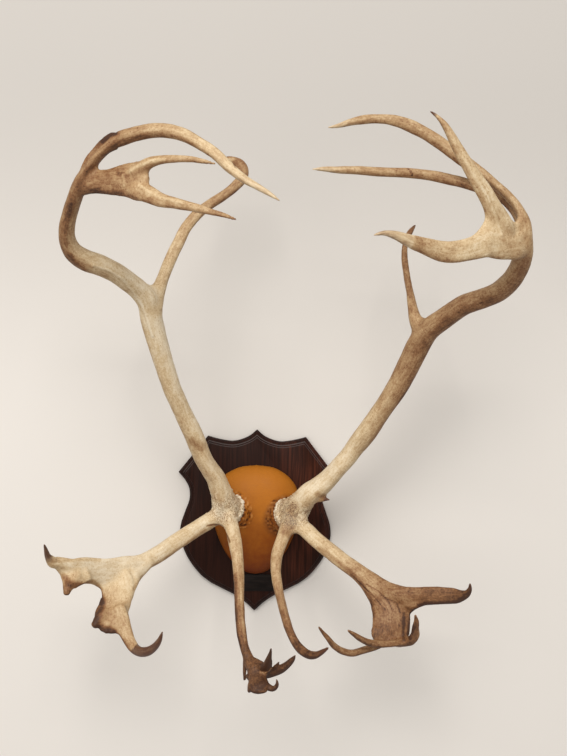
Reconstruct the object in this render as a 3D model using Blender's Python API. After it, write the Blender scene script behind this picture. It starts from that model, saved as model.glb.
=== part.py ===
# Caribou antler mount: a pair of antlers on a leather-covered skull cap and a walnut shield.
# The origin is the middle of the shield's back, which lies on the wall. +X is to the right as
# the mount is looked at, +Z is up, and the antlers reach out from the wall towards -Y.
import bmesh
import bpy
import math
from mathutils import Matrix, Vector

MM = 0.001
GAP = 0.3            # clearance between pieces that touch, in millimetres, as all sizes here
AWAY = Vector((0, 1, 0))

# Shield: right half of its outline as corners joined by straight or curved stretches, (x, z)
SHIELD_TOP_ARC = ((0, 183), (14, 171), (30, 163.5), (47, 159.5), (65, 161), (82, 164.5), (99, 169))
SHIELD_SHOULDER = ((99, 169), (157, 95))
SHIELD_SIDE = ((157, 95), (144, 80), (135, 62), (134, 44), (143, 15), (151, -10), (152.5, -30),
               (148, -52), (139, -74), (124, -97), (107, -116), (88, -130))
SHIELD_FOOT_ARC = ((88, -130), (66, -141), (44, -152), (21, -167), (0, -186))
# Each stretch with the distance between its points
SHIELD_STRETCHES = ((SHIELD_TOP_ARC, 12), (SHIELD_SHOULDER, 200), (SHIELD_SIDE, 15),
                    (SHIELD_FOOT_ARC, 16))
SHIELD_THICK = 22
# Moulded edge, from the back edge forward: (step inwards, rise)
SHIELD_MOULDING = ((2.0, 2.0), (3.5, 4.5), (2.5, 4.0), (2.0, 0.5), (1.5, 3.0))
SHIELD_EDGE = 8

# Skull cap: right half of the leather's outline on the shield, and its height
CAP_OUTLINE = ((0, 114), (34, 109), (61, 95), (78.5, 74), (87, 46), (88, 18), (83.5, -7), (75.5, -32),
               (64.5, -56), (50, -78), (33, -95), (15, -104.5), (0, -107))
CAP_MIDDLE = (0, 12)
CAP_HEIGHT = 45
CAP_FULLNESS = 0.8   # below 1 its sides rise more steeply than an oval's
CAP_RINGS = 6
CAP_STEP = 22        # distance between points round the cap
PEDICLE_DEEP = 20    # how deep a pedicle starts inside the cap
PEDICLE_WIDER = 8    # how much wider the bunched leather is than the antler's base
PEDICLE_SIDES = 16
SOCKET_RINGS = 9     # rings of a beam that its socket in the leather is cut with

# Name plate under the cap
PLATE_SIZE = (86, 34)
PLATE_MIDDLE = (0, -125)
PLATE_THICK = 1.6
PLATE_CORNER = 2.5
CORNER_STEPS = 3     # flats round each corner of a plate

# Hanger let into the back
HANGER_SIZE = (38, 22)
HANGER_THICK = 2
HANGER_TOP = 150
HANGER_CORNER = 4
KEYHOLE = (5, 2.4)   # radius of the hole for a screw's head, and of the slot for its neck
KEYHOLE_RISE = 9
NECK_ROUND = 0.98    # how fully the slot's ends are rounded
POCKET_DEEP = 9
POCKET_ROOM = 3      # how much wider and higher the pocket is than the keyhole
OVERCUT = 1          # how far a cutter passes beyond what it cuts
SCREW_RADIUS = 3.2
SCREW_APART = 28
SCREW_SUNK = 0.2

# Antlers: stations along the middle of each branch, from its root to its tip. Each is
# (x, z, distance from the wall, width as seen from the front, thickness front to back).
# They were measured on a mount that hung a little crooked, and are turned upright by this.
CROOKED = 1.25       # degrees
LEFT_MAIN = (
    (-46, 28, 62, 56, 56), (-48, 29.5, 64.5, 63, 63), (-51, 31.6, 68, 62, 62),
    (-54, 34.5, 72, 55, 55), (-56.5, 37.5, 76.5, 57, 56), (-60.5, 48, 84, 53, 53),
    (-64, 63, 92, 45, 47), (-68.5, 80, 100, 40, 43), (-74, 97, 108, 37, 41),
    (-85.5, 117, 119, 34, 39), (-97, 139, 131, 33.5, 38), (-111, 178, 150, 35, 37),
    (-131, 227, 174, 33, 36), (-150, 276, 200, 33, 36), (-163, 324, 223, 35, 36),
    (-173, 368, 243, 37, 36), (-180, 402, 258, 39, 36), (-187, 440, 276, 39, 36),
    (-200, 456, 287, 36, 36), (-214, 468, 300, 35, 37), (-237, 485, 325, 34, 38),
    (-258, 495, 346, 35, 38), (-280, 502, 366, 35, 38), (-296, 514, 384, 32, 36),
    (-302, 533, 401, 27, 34), (-299, 553, 417, 24.5, 32), (-291, 572, 432, 23, 31),
    (-280, 593, 452, 22.5, 30), (-268, 614, 469, 22, 28), (-252, 635, 484, 18, 26),
    (-234, 653, 496, 14.5, 24), (-219, 664, 503, 16, 22), (-201, 675, 510, 22.5, 20),
    (-181, 680, 518, 22.5, 19), (-137, 684, 530, 22, 18), (-104, 675, 542, 20, 17),
    (-77, 659, 553, 17, 16), (-57, 645, 562, 16, 15), (-32, 620, 574, 15, 14),
    (-14, 605, 582, 12.5, 12), (5, 593, 590, 10, 10), (24, 581, 596, 7, 7),
    (38, 571, 600, 2.5, 2.5))
LEFT_MAIN_SPLIT = 30
LEFT_CROWN = (
    (-268, 610, 466, 30, 24), (-250, 613, 480, 33, 20), (-235, 613, 490, 36, 17),
    (-218, 612, 501, 40, 15), (-201, 612, 511, 47, 14), (-184, 612, 519, 53, 13),
    (-172, 611, 525, 55, 12), (-164, 612, 529, 42, 11), (-160, 612, 531, 24, 9))
LEFT_CROWN_UPPER = (
    (-178, 622, 525, 21, 12), (-166, 629, 532, 20, 12), (-153, 635, 540, 17, 12),
    (-138, 637, 549, 14, 11), (-115, 637, 560, 11.5, 10), (-91, 635, 569, 9, 8),
    (-72, 631, 575, 6, 5.5), (-55, 627, 580, 2.5, 2.5))
LEFT_CROWN_LOWER = (
    (-178, 601, 525, 30, 12), (-166, 593, 534, 28, 13), (-153, 586, 545, 25, 13),
    (-138, 578, 555, 21, 13), (-113, 571, 571, 16, 12), (-83, 563, 586, 12.5, 10),
    (-61, 556, 596, 9.5, 8), (-41, 550, 603, 6.5, 5.5), (-24, 543, 610, 3, 3))
LEFT_FLAPS = (
    ((-250, 648, 486, 12, 10), (-242, 659, 491, 12, 8), (-231, 669, 496, 12, 7),
     (-220, 677, 502, 11, 7), (-213, 681, 506, 9, 6), (-203, 680, 511, 6, 6)),
    ((-243, 644, 490, 13, 11), (-234, 651, 495, 11, 9), (-223, 657, 500, 8.5, 7),
     (-214, 660, 503, 6, 5), (-206, 660.5, 506, 2.5, 2.5)))
LEFT_REAR = (
    (-178, 428, 271, 36, 24), (-170, 450, 264, 27, 21), (-161, 477, 252, 21.5, 18),
    (-147, 514, 238, 20.5, 17), (-135, 541, 228, 21, 16), (-121, 569, 218, 20.5, 16),
    (-102, 593, 210, 19, 15), (-79, 612, 203, 18, 15), (-54, 629, 196, 17.5, 15),
    (-33, 647, 187, 18, 14), (-20, 665, 177, 19, 13), (-20, 680, 168, 20, 13),
    (-27, 691, 160, 20, 12), (-35, 697, 154, 16, 10), (-44, 702, 148, 11, 7),
    (-52, 706, 143, 4, 3))
LEFT_BEZ = (
    (-60, 30, 88, 32, 32), (-80, 22, 103, 31, 31), (-103, 11, 117, 30, 28),
    (-134, -5, 141, 31, 26), (-161, -19, 165, 31, 25), (-186, -32, 190, 31, 23),
    (-211, -41, 213, 34, 20), (-235, -46, 233, 47, 18), (-261, -45, 253, 48, 15),
    (-284, -40, 271, 47, 14), (-308, -34, 291, 48, 14), (-322, -28, 302, 41, 14),
    (-335, -18, 313, 27, 13), (-342, -14, 319, 21, 13), (-348, -12, 324, 20, 13),
    (-351, -7, 328, 17.5, 12), (-354, -1, 333, 12, 11), (-355, 10, 343, 8, 9),
    (-355, 20, 353, 5, 6), (-355, 27, 362, 2.5, 3))
LEFT_BEZ_LOBE = (
    (-250, -48, 240, 43, 16), (-245, -68, 248, 53, 17), (-247, -83, 258, 55, 17),
    (-248, -96, 266, 52, 17), (-252, -106, 273, 54, 18), (-255, -117, 280, 60, 20),
    (-256, -126, 288, 56, 20), (-258, -134, 294, 48, 18), (-259, -139, 298, 30, 10))
LEFT_BEZ_HOOK = (
    (-245, -107, 284, 33, 16), (-236, -126, 292, 31, 17), (-228, -142, 300, 25, 16),
    (-220, -155, 309, 21, 14), (-211, -164, 320, 19.5, 13), (-200, -166, 334, 18, 13),
    (-186, -161, 350, 16.5, 12), (-172, -149, 366, 13, 11), (-162, -133, 382, 9, 9),
    (-155, -114, 395, 3, 3))
LEFT_BEZ_WEB = (
    (-198, -36, 205, 30, 18), (-217, -52, 222, 32, 18), (-231, -71, 242, 30, 17),
    (-239, -91, 258, 30, 16), (-243, -107, 270, 28, 15))
LEFT_BEZ_KNOBS = (
    ((-318, -36, 302, 33, 13), (-321, -48, 312, 25, 13), (-324, -57, 321, 17, 14),
     (-325, -64, 326, 11.5, 10)),
    ((-297, -39, 292, 28, 12), (-308, -47, 300, 24, 12), (-315, -55, 310, 14, 11)),
    ((-262, -116, 284, 30, 17), (-275, -123, 294, 23, 19), (-281, -128, 299, 14, 12)),
    ((-259, -124, 286, 28, 16), (-262, -134, 296, 17, 17), (-261, -139, 300, 10, 10)))
LEFT_BROW = (
    (-56, 34, 88, 28, 28), (-50, 19, 101, 29, 29), (-46, 3, 112, 27, 27), (-40, -22, 126, 25, 24),
    (-35, -51, 146, 21.5, 22), (-32, -83, 170, 20, 21), (-31, -111, 198, 18, 20),
    (-29, -141, 228, 18, 19), (-25, -167, 256, 17, 18), (-19, -186, 276, 16.5, 18),
    (-12, -199, 288, 20, 16), (-4, -206, 303, 33, 14), (1, -211, 312, 42, 13),
    (2, -216, 320, 36, 12), (4, -219, 324, 22, 9))
LEFT_BROW_FINGERS = (
    ((5, -210, 312, 20.5, 12), (15, -201, 326, 20.5, 12), (20, -188, 338, 14.5, 10),
     (22, -174, 350, 9, 8), (24, -164, 358, 6, 6), (25, -151, 368, 2.5, 2.5)),
    ((5, -219, 306, 17, 12), (22, -214, 314, 16, 13), (38, -206, 322, 16, 12),
     (51, -195, 331, 13, 10), (61, -183, 339, 9.5, 8), (67, -172, 346, 3.5, 3)),
    ((17, -216, 314, 15, 10), (27, -207, 320, 11, 8), (34, -197, 326, 6.5, 6),
     (40, -188, 330, 2.5, 2.5)),
    ((10, -222, 334, 15, 12), (19, -227, 343, 13, 11), (29, -228, 350, 9.5, 10),
     (35, -219, 357, 7, 8), (34, -206, 363, 2.5, 2.5)),
    ((-1, -204, 312, 28, 14), (1, -216, 324, 32, 14), (3, -222, 336, 34, 15),
     (4, -227, 347, 37, 17), (4, -230, 353, 29, 12)),
    ((-4, -220, 330, 15, 14), (-10, -227, 338, 11, 12), (-12, -233, 344, 7, 9)),
    ((-18, -190, 284, 11, 12), (-20, -208, 284, 7.5, 12), (-21, -223, 282, 6.5, 10),
     (-21, -236, 280, 5.5, 6)))

RIGHT_MAIN = (
    (60, 18, 62, 58, 58), (62, 19.2, 64.5, 65, 65), (65, 21, 68, 64, 64),
    (68.5, 23.5, 72, 57, 57), (72.5, 27.5, 78, 58, 56), (82, 38.5, 86, 53, 53),
    (93, 54, 96, 46, 48), (106, 69, 108, 42, 44), (119, 79, 114, 40, 43), (131, 90, 121, 38, 42),
    (142, 102, 127, 36, 41), (161, 127, 141, 34, 40), (178, 149, 150, 34, 39),
    (189, 166, 158, 35, 38), (206, 192, 175, 38, 37), (235, 240, 197, 35, 36),
    (259, 280, 215, 38, 36), (280, 326, 235, 41, 36), (294, 358, 251, 42, 36),
    (308, 382, 267, 40, 36), (331, 402, 289, 37, 36), (361, 426, 325, 35, 36),
    (388, 438, 354, 34, 36), (406, 448, 377, 34, 36), (420, 464, 400, 33, 35),
    (427, 482, 422, 31, 34), (429, 503, 445, 30, 32), (426, 527, 464, 27, 29),
    (424, 552, 472, 20, 24), (415, 574, 470, 15, 19), (402, 592, 465, 14, 17),
    (384, 610, 460, 14, 17), (366, 626, 457, 15, 17), (345, 642, 453, 18, 17),
    (319, 662, 450, 20, 16), (295, 680, 448, 20.5, 16), (270, 696, 447, 20, 15),
    (245, 708, 447, 19.5, 15), (222, 715, 448, 17.5, 14), (197, 717, 450, 15, 13),
    (173, 715, 453, 13.5, 12), (152, 710, 457, 11, 10), (133, 704, 461, 7, 7),
    (115, 700, 465, 2.5, 2.5))
RIGHT_MAIN_SPLIT = 28
RIGHT_CROWN = (
    (424, 522, 462, 48, 24), (410, 521, 475, 54, 20), (396, 520, 485, 53, 17),
    (372, 518, 501, 50, 15), (355, 516, 513, 44, 14), (336, 509, 526, 36, 13),
    (315, 504, 538, 33, 13), (296, 501, 548, 33, 13), (277, 502, 557, 31, 12),
    (259, 506, 566, 27, 12), (240, 511, 575, 22, 11), (222, 517, 583, 17.5, 10),
    (204, 523, 590, 12.5, 9), (187, 525, 596, 7, 6), (171, 521, 600, 2.5, 2.5))
RIGHT_CROWN_FRONT = (
    (391, 524, 485, 36, 15), (382, 540, 494, 42, 15), (373, 557, 503, 36, 14),
    (364, 573, 512, 28, 13), (352, 591, 520, 25, 13), (338, 609, 528, 23, 12),
    (322, 631, 535, 19, 12), (309, 650, 541, 17.5, 11), (295, 673, 545, 13.5, 11),
    (284, 690, 547, 10, 9), (273, 702, 547, 6, 6), (263, 710, 545, 2.5, 2.5))
RIGHT_INNER = (
    (422, 545, 468, 15, 15), (413, 571, 456, 14, 14), (403, 586, 446, 14, 14),
    (391, 598, 436, 15, 14), (375, 607, 429, 16, 14), (356, 614, 425, 16.5, 14),
    (337, 621, 422, 16.5, 14), (317, 626, 420, 17, 14), (291, 632, 419, 17, 14),
    (252, 637, 418, 15.5, 14), (228, 638, 418, 15.5, 13), (198, 639, 419, 15, 12),
    (166, 641, 421, 14, 11), (135, 641, 424, 11.5, 10), (113, 642, 427, 8, 7),
    (93, 641, 430, 2.5, 2.5))
RIGHT_REAR = (
    (300, 376, 262, 34, 24), (289, 398, 252, 25, 20), (284, 424, 237, 17, 16),
    (281, 456, 217, 13, 13), (278, 489, 197, 12, 12), (277, 516, 182, 11, 11),
    (280, 539, 168, 10.5, 10.5), (287, 558, 155, 11, 11), (296, 571, 145, 8.5, 8.5),
    (305, 582, 135, 2.5, 2.5))
RIGHT_SPUR = (
    (107, 60, 106, 21, 18), (120, 60, 113, 15.5, 15), (131, 60, 120, 8.5, 10),
    (142, 59, 127, 2.5, 2.5))
RIGHT_BEZ = (
    (74, 22, 88, 32, 32), (90, 4, 107, 31, 31), (112, -14, 128, 30, 28), (135, -30, 148, 30, 26),
    (163, -49, 173, 30, 25), (193, -68, 198, 33, 22), (217, -87, 221, 45, 20),
    (234, -104, 238, 60, 18), (242, -122, 250, 66, 17), (243, -141, 260, 68, 16),
    (240, -157, 268, 68, 16), (236, -166, 273, 66, 14), (234, -172, 277, 56, 10))
RIGHT_BEZ_OUTER = (
    (238, -98, 240, 34, 17), (260, -97, 252, 37, 17), (285, -94, 264, 34, 16),
    (310, -89, 278, 33, 15), (341, -85, 294, 30, 14), (352, -84, 300, 28, 14),
    (361, -81, 308, 20, 13), (368, -76, 316, 13, 11), (371, -68, 324, 8.5, 9),
    (369, -53, 337, 3, 3))
RIGHT_BEZ_TINES = (
    ((261, -172, 272, 18, 14), (272, -169, 284, 16, 14), (280, -155, 296, 15, 13),
     (280, -139, 306, 12, 11), (280, -125, 314, 9.5, 9), (277, -112, 320, 3, 2.5)),
    ((264, -172, 277, 14, 13), (239, -171, 290, 12.5, 12), (214, -168, 300, 13, 11),
     (196, -162, 310, 13, 11), (181, -152, 320, 11, 10), (168, -141, 330, 7.5, 8),
     (157, -131, 340, 2.5, 2.5)),
    ((227, -174, 270, 18, 14), (206, -181, 280, 13, 13), (188, -183, 289, 12.5, 12),
     (169, -184, 299, 12, 12), (151, -177, 309, 11.5, 12), (136, -165, 319, 11, 11),
     (124, -148, 330, 9, 9), (113, -133, 338, 6, 6), (105, -120, 346, 2.5, 2.5)))
RIGHT_BEZ_WEB = ((267, -103, 254, 25, 15), (280, -109, 262, 18, 13), (297, -102, 270, 16, 13))
RIGHT_BROW = (
    (70, 25, 88, 28, 28), (62, 8, 102, 28, 28), (56, -6, 110, 26, 26), (49, -22, 119, 24, 24),
    (41, -42, 134, 22, 23), (38, -66, 156, 19.5, 21), (41, -95, 182, 18, 19),
    (48, -121, 206, 16, 18), (55, -144, 229, 15.5, 17), (62, -162, 249, 15, 16),
    (72, -177, 270, 16, 15), (83, -184, 288, 16, 14), (96, -185, 306, 15, 12),
    (107, -180, 318, 11, 10), (115, -173, 325, 8.5, 8), (124, -164, 333, 4, 4))

MAIN_STEP = 30       # distance between rings along a main beam
TINE_STEP = 26
FINGER_STEP = 20
MAIN_SIDES = 10
TINE_SIDES = 8
FINGER_SIDES = 6
MERGE = 0.003        # points closer than this are one


def paint(name, colour, roughness, metallic=0.0):
    material = bpy.data.materials.new(name)
    material.use_nodes = True
    shader = material.node_tree.nodes["Principled BSDF"]
    shader.inputs["Base Color"].default_value = (*colour, 1.0)
    shader.inputs["Roughness"].default_value = roughness
    shader.inputs["Metallic"].default_value = metallic
    return material


def add_object(name, bm, material=None):
    # One object from a finished bmesh, faces outwards, millimetres turned to metres.
    bmesh.ops.recalc_face_normals(bm, faces=bm.faces)
    bmesh.ops.scale(bm, vec=(MM, MM, MM), verts=bm.verts)
    mesh = bpy.data.meshes.new(name)
    bm.to_mesh(mesh)
    bm.free()
    mesh.shade_smooth()
    mesh.set_sharp_from_angle(angle=math.radians(35))
    piece = bpy.data.objects.new(name, mesh)
    bpy.context.scene.collection.objects.link(piece)
    if material:
        mesh.materials.append(material)
    return piece


def combine(piece, other, operation):
    # Cuts another object from a piece or adds it to it, and removes the other one.
    boolean = piece.modifiers.new(operation.title(), "BOOLEAN")
    boolean.operation = operation
    boolean.object = other
    graph = bpy.context.evaluated_depsgraph_get()
    shaped = bpy.data.meshes.new_from_object(piece.evaluated_get(graph))
    piece.modifiers.remove(boolean)
    bpy.data.objects.remove(other)
    bm = bmesh.new()
    bm.from_mesh(shaped)
    bmesh.ops.remove_doubles(bm, verts=bm.verts, dist=MERGE * MM)
    bmesh.ops.dissolve_degenerate(bm, edges=bm.edges, dist=MERGE * MM)
    bmesh.ops.triangulate(bm, faces=bm.faces)
    bm.to_mesh(shaped)
    bm.free()
    piece.data = shaped


def curve_through(points, step):
    # A smooth curve through points of any number of values, about one step between samples.
    # The first three values are the place that the distances are measured in.
    points = [tuple(float(value) for value in point) for point in points]
    last = len(points) - 1

    def distance(a, b):
        return max(math.dist(points[a][:3], points[b][:3]), 1e-6)

    def slope(i, k):
        before = max(i - 1, 0)
        after = min(i + 1, last)
        if before == i or after == i:
            return (points[after][k] - points[before][k]) / distance(before, after)
        back = distance(before, i)
        ahead = distance(i, after)
        rate_back = (points[i][k] - points[before][k]) / back
        rate_ahead = (points[after][k] - points[i][k]) / ahead
        return (rate_back * ahead + rate_ahead * back) / (back + ahead)

    samples = []
    for i in range(last):
        length = distance(i, i + 1)
        count = max(1, round(length / step))
        for j in range(count):
            s = j / count
            h1 = 2 * s ** 3 - 3 * s ** 2 + 1
            h2 = s ** 3 - 2 * s ** 2 + s
            h3 = 3 * s ** 2 - 2 * s ** 3
            h4 = s ** 3 - s ** 2
            samples.append(tuple(
                h1 * points[i][k] + h2 * length * slope(i, k)
                + h3 * points[i + 1][k] + h4 * length * slope(i + 1, k)
                for k in range(len(points[0]))))
    samples.append(points[last])
    return samples


def stations_of(branch, step):
    # The branch's stations as (place, direction, width, thickness) along a smooth curve.
    upright = Matrix.Rotation(math.radians(CROOKED), 2)
    turned = [(*(upright @ Vector((x, z))), out, w, t) for x, z, out, w, t in branch]
    samples = curve_through([(x, -out, z, w, t) for x, z, out, w, t in turned], step)
    places = [Vector(sample[:3]) for sample in samples]
    stations = []
    for i, place in enumerate(places):
        direction = places[min(i + 1, len(places) - 1)] - places[max(i - 1, 0)]
        stations.append((place, direction.normalized(), samples[i][3], samples[i][4]))
    return stations


def tube(name, stations, sides, grow=0.0, material=None):
    # A closed tube of oval rings, grown all over by a little where it is used to cut.
    bm = bmesh.new()
    rings = []
    for i, (place, direction, width, thickness) in enumerate(stations):
        across = direction.cross(AWAY).normalized()
        deep = direction.cross(across)
        if i == 0:
            place = place - direction * grow
        if i == len(stations) - 1:
            place = place + direction * grow
        ring = []
        for k in range(sides):
            turn = math.tau * (k + 0.5) / sides
            ring.append(bm.verts.new(
                place + across * (width / 2 + grow) * math.cos(turn)
                + deep * (thickness / 2 + grow) * math.sin(turn)))
        rings.append(ring)
    for ring, following in zip(rings, rings[1:]):
        for k in range(sides):
            after = (k + 1) % sides
            bm.faces.new((ring[k], ring[after], following[after], following[k]))
    # One fixed diagonal in every quad, so that a cutter follows the tube that it is grown from
    bmesh.ops.triangulate(bm, faces=bm.faces, quad_method="FIXED")
    bm.faces.new(rings[0])
    bm.faces.new(rings[-1])
    return add_object(name, bm, material)


def branch_tube(name, branch, step=TINE_STEP, sides=TINE_SIDES, grow=0.0, material=None):
    return tube(name, stations_of(branch, step), sides, grow, material)


def branched(name, branches, material, cuts=()):
    # One piece of antler: its first branch, the others grown on, then cut clear of what
    # carries it. Each cut is a tube's stations and its number of sides.
    piece = branch_tube(name, branches[0], material=material)
    for branch in branches[1:]:
        combine(piece, branch_tube("limb", branch, FINGER_STEP, FINGER_SIDES), "UNION")
    for stations, sides in cuts:
        combine(piece, tube("cutter", stations, sides, grow=GAP), "DIFFERENCE")
    return piece


def split_main(branch, split):
    # The main run as two lists of stations, the beam and the tine that ends it.
    stations = stations_of(branch, MAIN_STEP)
    joint = Vector((branch[split][0], -branch[split][2], branch[split][1]))
    cut = min(range(len(stations)), key=lambda i: (stations[i][0] - joint).length)
    place, direction, width, thickness = stations[cut]
    start = (place + direction * GAP, direction, width, thickness)
    return stations[:cut + 1], [start] + stations[cut + 1:]


def build_left_antler(bone):
    beam, top = split_main(LEFT_MAIN, LEFT_MAIN_SPLIT)
    tube("left_beam", beam, MAIN_SIDES, material=bone)
    tine = tube("left_top_tine", top, MAIN_SIDES, material=bone)
    beam_cut = (beam, MAIN_SIDES)
    top_cut = (top, MAIN_SIDES)
    bez_cut = (stations_of(LEFT_BEZ, TINE_STEP), TINE_SIDES)
    for flap in LEFT_FLAPS:
        combine(tine, branch_tube("flap", flap, FINGER_STEP, FINGER_SIDES), "UNION")
    combine(tine, tube("cutter", beam, MAIN_SIDES, grow=GAP), "DIFFERENCE")
    branched("left_crown_palm", (LEFT_CROWN, LEFT_CROWN_UPPER, LEFT_CROWN_LOWER), bone,
             (beam_cut, top_cut))
    branched("left_rear_tine", (LEFT_REAR,), bone, (beam_cut,))
    branched("left_bez_tine",
             (LEFT_BEZ, LEFT_BEZ_LOBE, LEFT_BEZ_WEB, LEFT_BEZ_HOOK) + LEFT_BEZ_KNOBS, bone,
             (beam_cut,))
    branched("left_brow_tine", (LEFT_BROW,) + LEFT_BROW_FINGERS, bone, (beam_cut, bez_cut))


def build_right_antler(bone):
    beam, top = split_main(RIGHT_MAIN, RIGHT_MAIN_SPLIT)
    main = tube("right_beam", beam, MAIN_SIDES, material=bone)
    tube("right_top_tine", top, MAIN_SIDES, material=bone)
    combine(main, branch_tube("spur", RIGHT_SPUR, FINGER_STEP, FINGER_SIDES), "UNION")
    beam_cut = (beam, MAIN_SIDES)
    top_cut = (top, MAIN_SIDES)
    bez_cut = (stations_of(RIGHT_BEZ, TINE_STEP), TINE_SIDES)
    branched("right_crown_palm", (RIGHT_CROWN, RIGHT_CROWN_FRONT), bone, (beam_cut, top_cut))
    crown_cut = (stations_of(RIGHT_CROWN, TINE_STEP), TINE_SIDES)
    branched("right_inner_tine", (RIGHT_INNER,), bone, (beam_cut, top_cut, crown_cut))
    branched("right_rear_tine", (RIGHT_REAR,), bone, (beam_cut,))
    branched("right_bez_tine", (RIGHT_BEZ, RIGHT_BEZ_OUTER, RIGHT_BEZ_WEB) + RIGHT_BEZ_TINES, bone,
             (beam_cut,))
    branched("right_brow_tine", (RIGHT_BROW,), bone, (beam_cut, bez_cut))


def shield_outline():
    half = []
    for stretch, step in SHIELD_STRETCHES:
        curve = curve_through([(x, 0, z) for x, z in stretch], step)
        half += [(x, z) for x, _, z in curve[:-1]]
    half.append(SHIELD_FOOT_ARC[-1])
    return half + [(-x, z) for x, z in reversed(half[1:-1])]


def build_shield(wood):
    bm = bmesh.new()
    back = bm.faces.new([bm.verts.new((x, 0, z)) for x, z in shield_outline()])
    grown = bmesh.ops.extrude_face_region(bm, geom=[back])
    rim = [item for item in grown["geom"] if isinstance(item, bmesh.types.BMVert)]
    bmesh.ops.translate(bm, vec=(0, -SHIELD_EDGE, 0), verts=rim)
    face = [item for item in grown["geom"] if isinstance(item, bmesh.types.BMFace)]
    face[0].normal_update()
    for inwards, rise in SHIELD_MOULDING:
        if face[0].normal.y > 0:
            face[0].normal_flip()
        bmesh.ops.inset_region(bm, faces=face, thickness=inwards, use_even_offset=True,
                               use_boundary=True)
        bmesh.ops.translate(bm, vec=(0, -rise, 0), verts=face[0].verts)
    return add_object("shield_plaque", bm, wood)


def build_cap(leather, bases):
    half = curve_through([(x, 0, z) for x, z in CAP_OUTLINE], CAP_STEP)
    right = [(x, z) for x, _, z in half]
    outline = right + [(-x, z) for x, z in reversed(right[1:-1])]
    middle_x, middle_z = CAP_MIDDLE
    back = -(SHIELD_THICK + GAP)
    bm = bmesh.new()
    rings = []
    for level in range(CAP_RINGS):
        rise = math.radians(90 * level / CAP_RINGS)
        spread = math.cos(rise) ** CAP_FULLNESS
        rings.append([bm.verts.new((middle_x + (x - middle_x) * spread,
                                    back - CAP_HEIGHT * math.sin(rise),
                                    middle_z + (z - middle_z) * spread))
                      for x, z in outline])
    top = bm.verts.new((middle_x, back - CAP_HEIGHT, middle_z))
    count = len(outline)
    for ring, following in zip(rings, rings[1:]):
        for k in range(count):
            after = (k + 1) % count
            bm.faces.new((ring[k], ring[after], following[after], following[k]))
    for k in range(count):
        bm.faces.new((rings[-1][k], rings[-1][(k + 1) % count], top))
    bm.faces.new(rings[0])
    cap = add_object("leather_skull_cap", bm, leather)
    for branch in bases:
        base = stations_of(branch, MAIN_STEP)[:SOCKET_RINGS]
        place, direction, width, thickness = base[0]
        wide = width + PEDICLE_WIDER
        pedicle = [(place - direction * PEDICLE_DEEP, direction, width, thickness),
                   (place - direction * PEDICLE_DEEP / 3, direction, wide, wide),
                   (place - direction * 2 * GAP, direction, wide, wide)]
        combine(cap, tube("pedicle", pedicle, PEDICLE_SIDES), "UNION")
        combine(cap, tube("cutter", base, MAIN_SIDES, grow=GAP), "DIFFERENCE")
    return cap


def rounded_plate(name, size, corner, front, thick, middle, material):
    # A thin plate with round corners; its back is at the distance `front` from the wall.
    width, height = size
    x0, z0 = middle
    bm = bmesh.new()
    verts = []
    for sign_x, sign_z, start in ((1, 1, 0), (-1, 1, 90), (-1, -1, 180), (1, -1, 270)):
        for k in range(CORNER_STEPS + 1):
            turn = math.radians(start + 90 * k / CORNER_STEPS)
            verts.append(bm.verts.new((
                x0 + sign_x * (width / 2 - corner) + corner * math.cos(turn),
                -front,
                z0 + sign_z * (height / 2 - corner) + corner * math.sin(turn))))
    face = bm.faces.new(verts)
    grown = bmesh.ops.extrude_face_region(bm, geom=[face])
    moved = [item for item in grown["geom"] if isinstance(item, bmesh.types.BMVert)]
    bmesh.ops.translate(bm, vec=(0, -thick, 0), verts=moved)
    return add_object(name, bm, material)


def wall_cylinder(name, radius, start, end, x, z, sides=16, material=None):
    # A cylinder square to the wall, from one distance out to another.
    bm = bmesh.new()
    near = [bm.verts.new((x + radius * math.cos(math.tau * k / sides), -start,
                          z + radius * math.sin(math.tau * k / sides))) for k in range(sides)]
    face = bm.faces.new(near)
    grown = bmesh.ops.extrude_face_region(bm, geom=[face])
    moved = [item for item in grown["geom"] if isinstance(item, bmesh.types.BMVert)]
    bmesh.ops.translate(bm, vec=(0, start - end, 0), verts=moved)
    return add_object(name, bm, material)


def build_hanger(shield, steel):
    middle = HANGER_TOP - HANGER_SIZE[1] / 2
    width, height = HANGER_SIZE
    hole, slot = KEYHOLE
    low = middle - KEYHOLE_RISE / 2
    recess = rounded_plate("recess", (width + 2 * GAP, height + 2 * GAP), HANGER_CORNER,
                           -OVERCUT, HANGER_THICK + GAP + OVERCUT, (0, middle), None)
    combine(shield, recess, "DIFFERENCE")
    pocket_size = (2 * hole + POCKET_ROOM, KEYHOLE_RISE + 2 * hole + POCKET_ROOM)
    pocket = rounded_plate("pocket", pocket_size, HANGER_CORNER, HANGER_THICK - OVERCUT,
                           POCKET_DEEP, (0, middle), None)
    combine(shield, pocket, "DIFFERENCE")
    plate = rounded_plate("keyhole_hanger", HANGER_SIZE, HANGER_CORNER, 0, HANGER_THICK,
                          (0, middle), steel)
    round_hole = wall_cylinder("hole", hole, -OVERCUT, HANGER_THICK + OVERCUT, 0, low)
    combine(plate, round_hole, "DIFFERENCE")
    neck = rounded_plate("neck", (2 * slot, KEYHOLE_RISE + 2 * slot), NECK_ROUND * slot,
                         -OVERCUT, HANGER_THICK + 2 * OVERCUT, (0, middle), None)
    combine(plate, neck, "DIFFERENCE")
    for side, name in ((-1, "hanger_screw_left"), (1, "hanger_screw_right")):
        x = side * SCREW_APART / 2
        for drilled in (plate, shield):
            bore = wall_cylinder("bore", SCREW_RADIUS + GAP, -OVERCUT, POCKET_DEEP + GAP, x,
                                 middle)
            combine(drilled, bore, "DIFFERENCE")
        wall_cylinder(name, SCREW_RADIUS, SCREW_SUNK, POCKET_DEEP, x, middle, material=steel)


def clear_scene():
    for item in list(bpy.data.objects):
        bpy.data.objects.remove(item)


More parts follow.
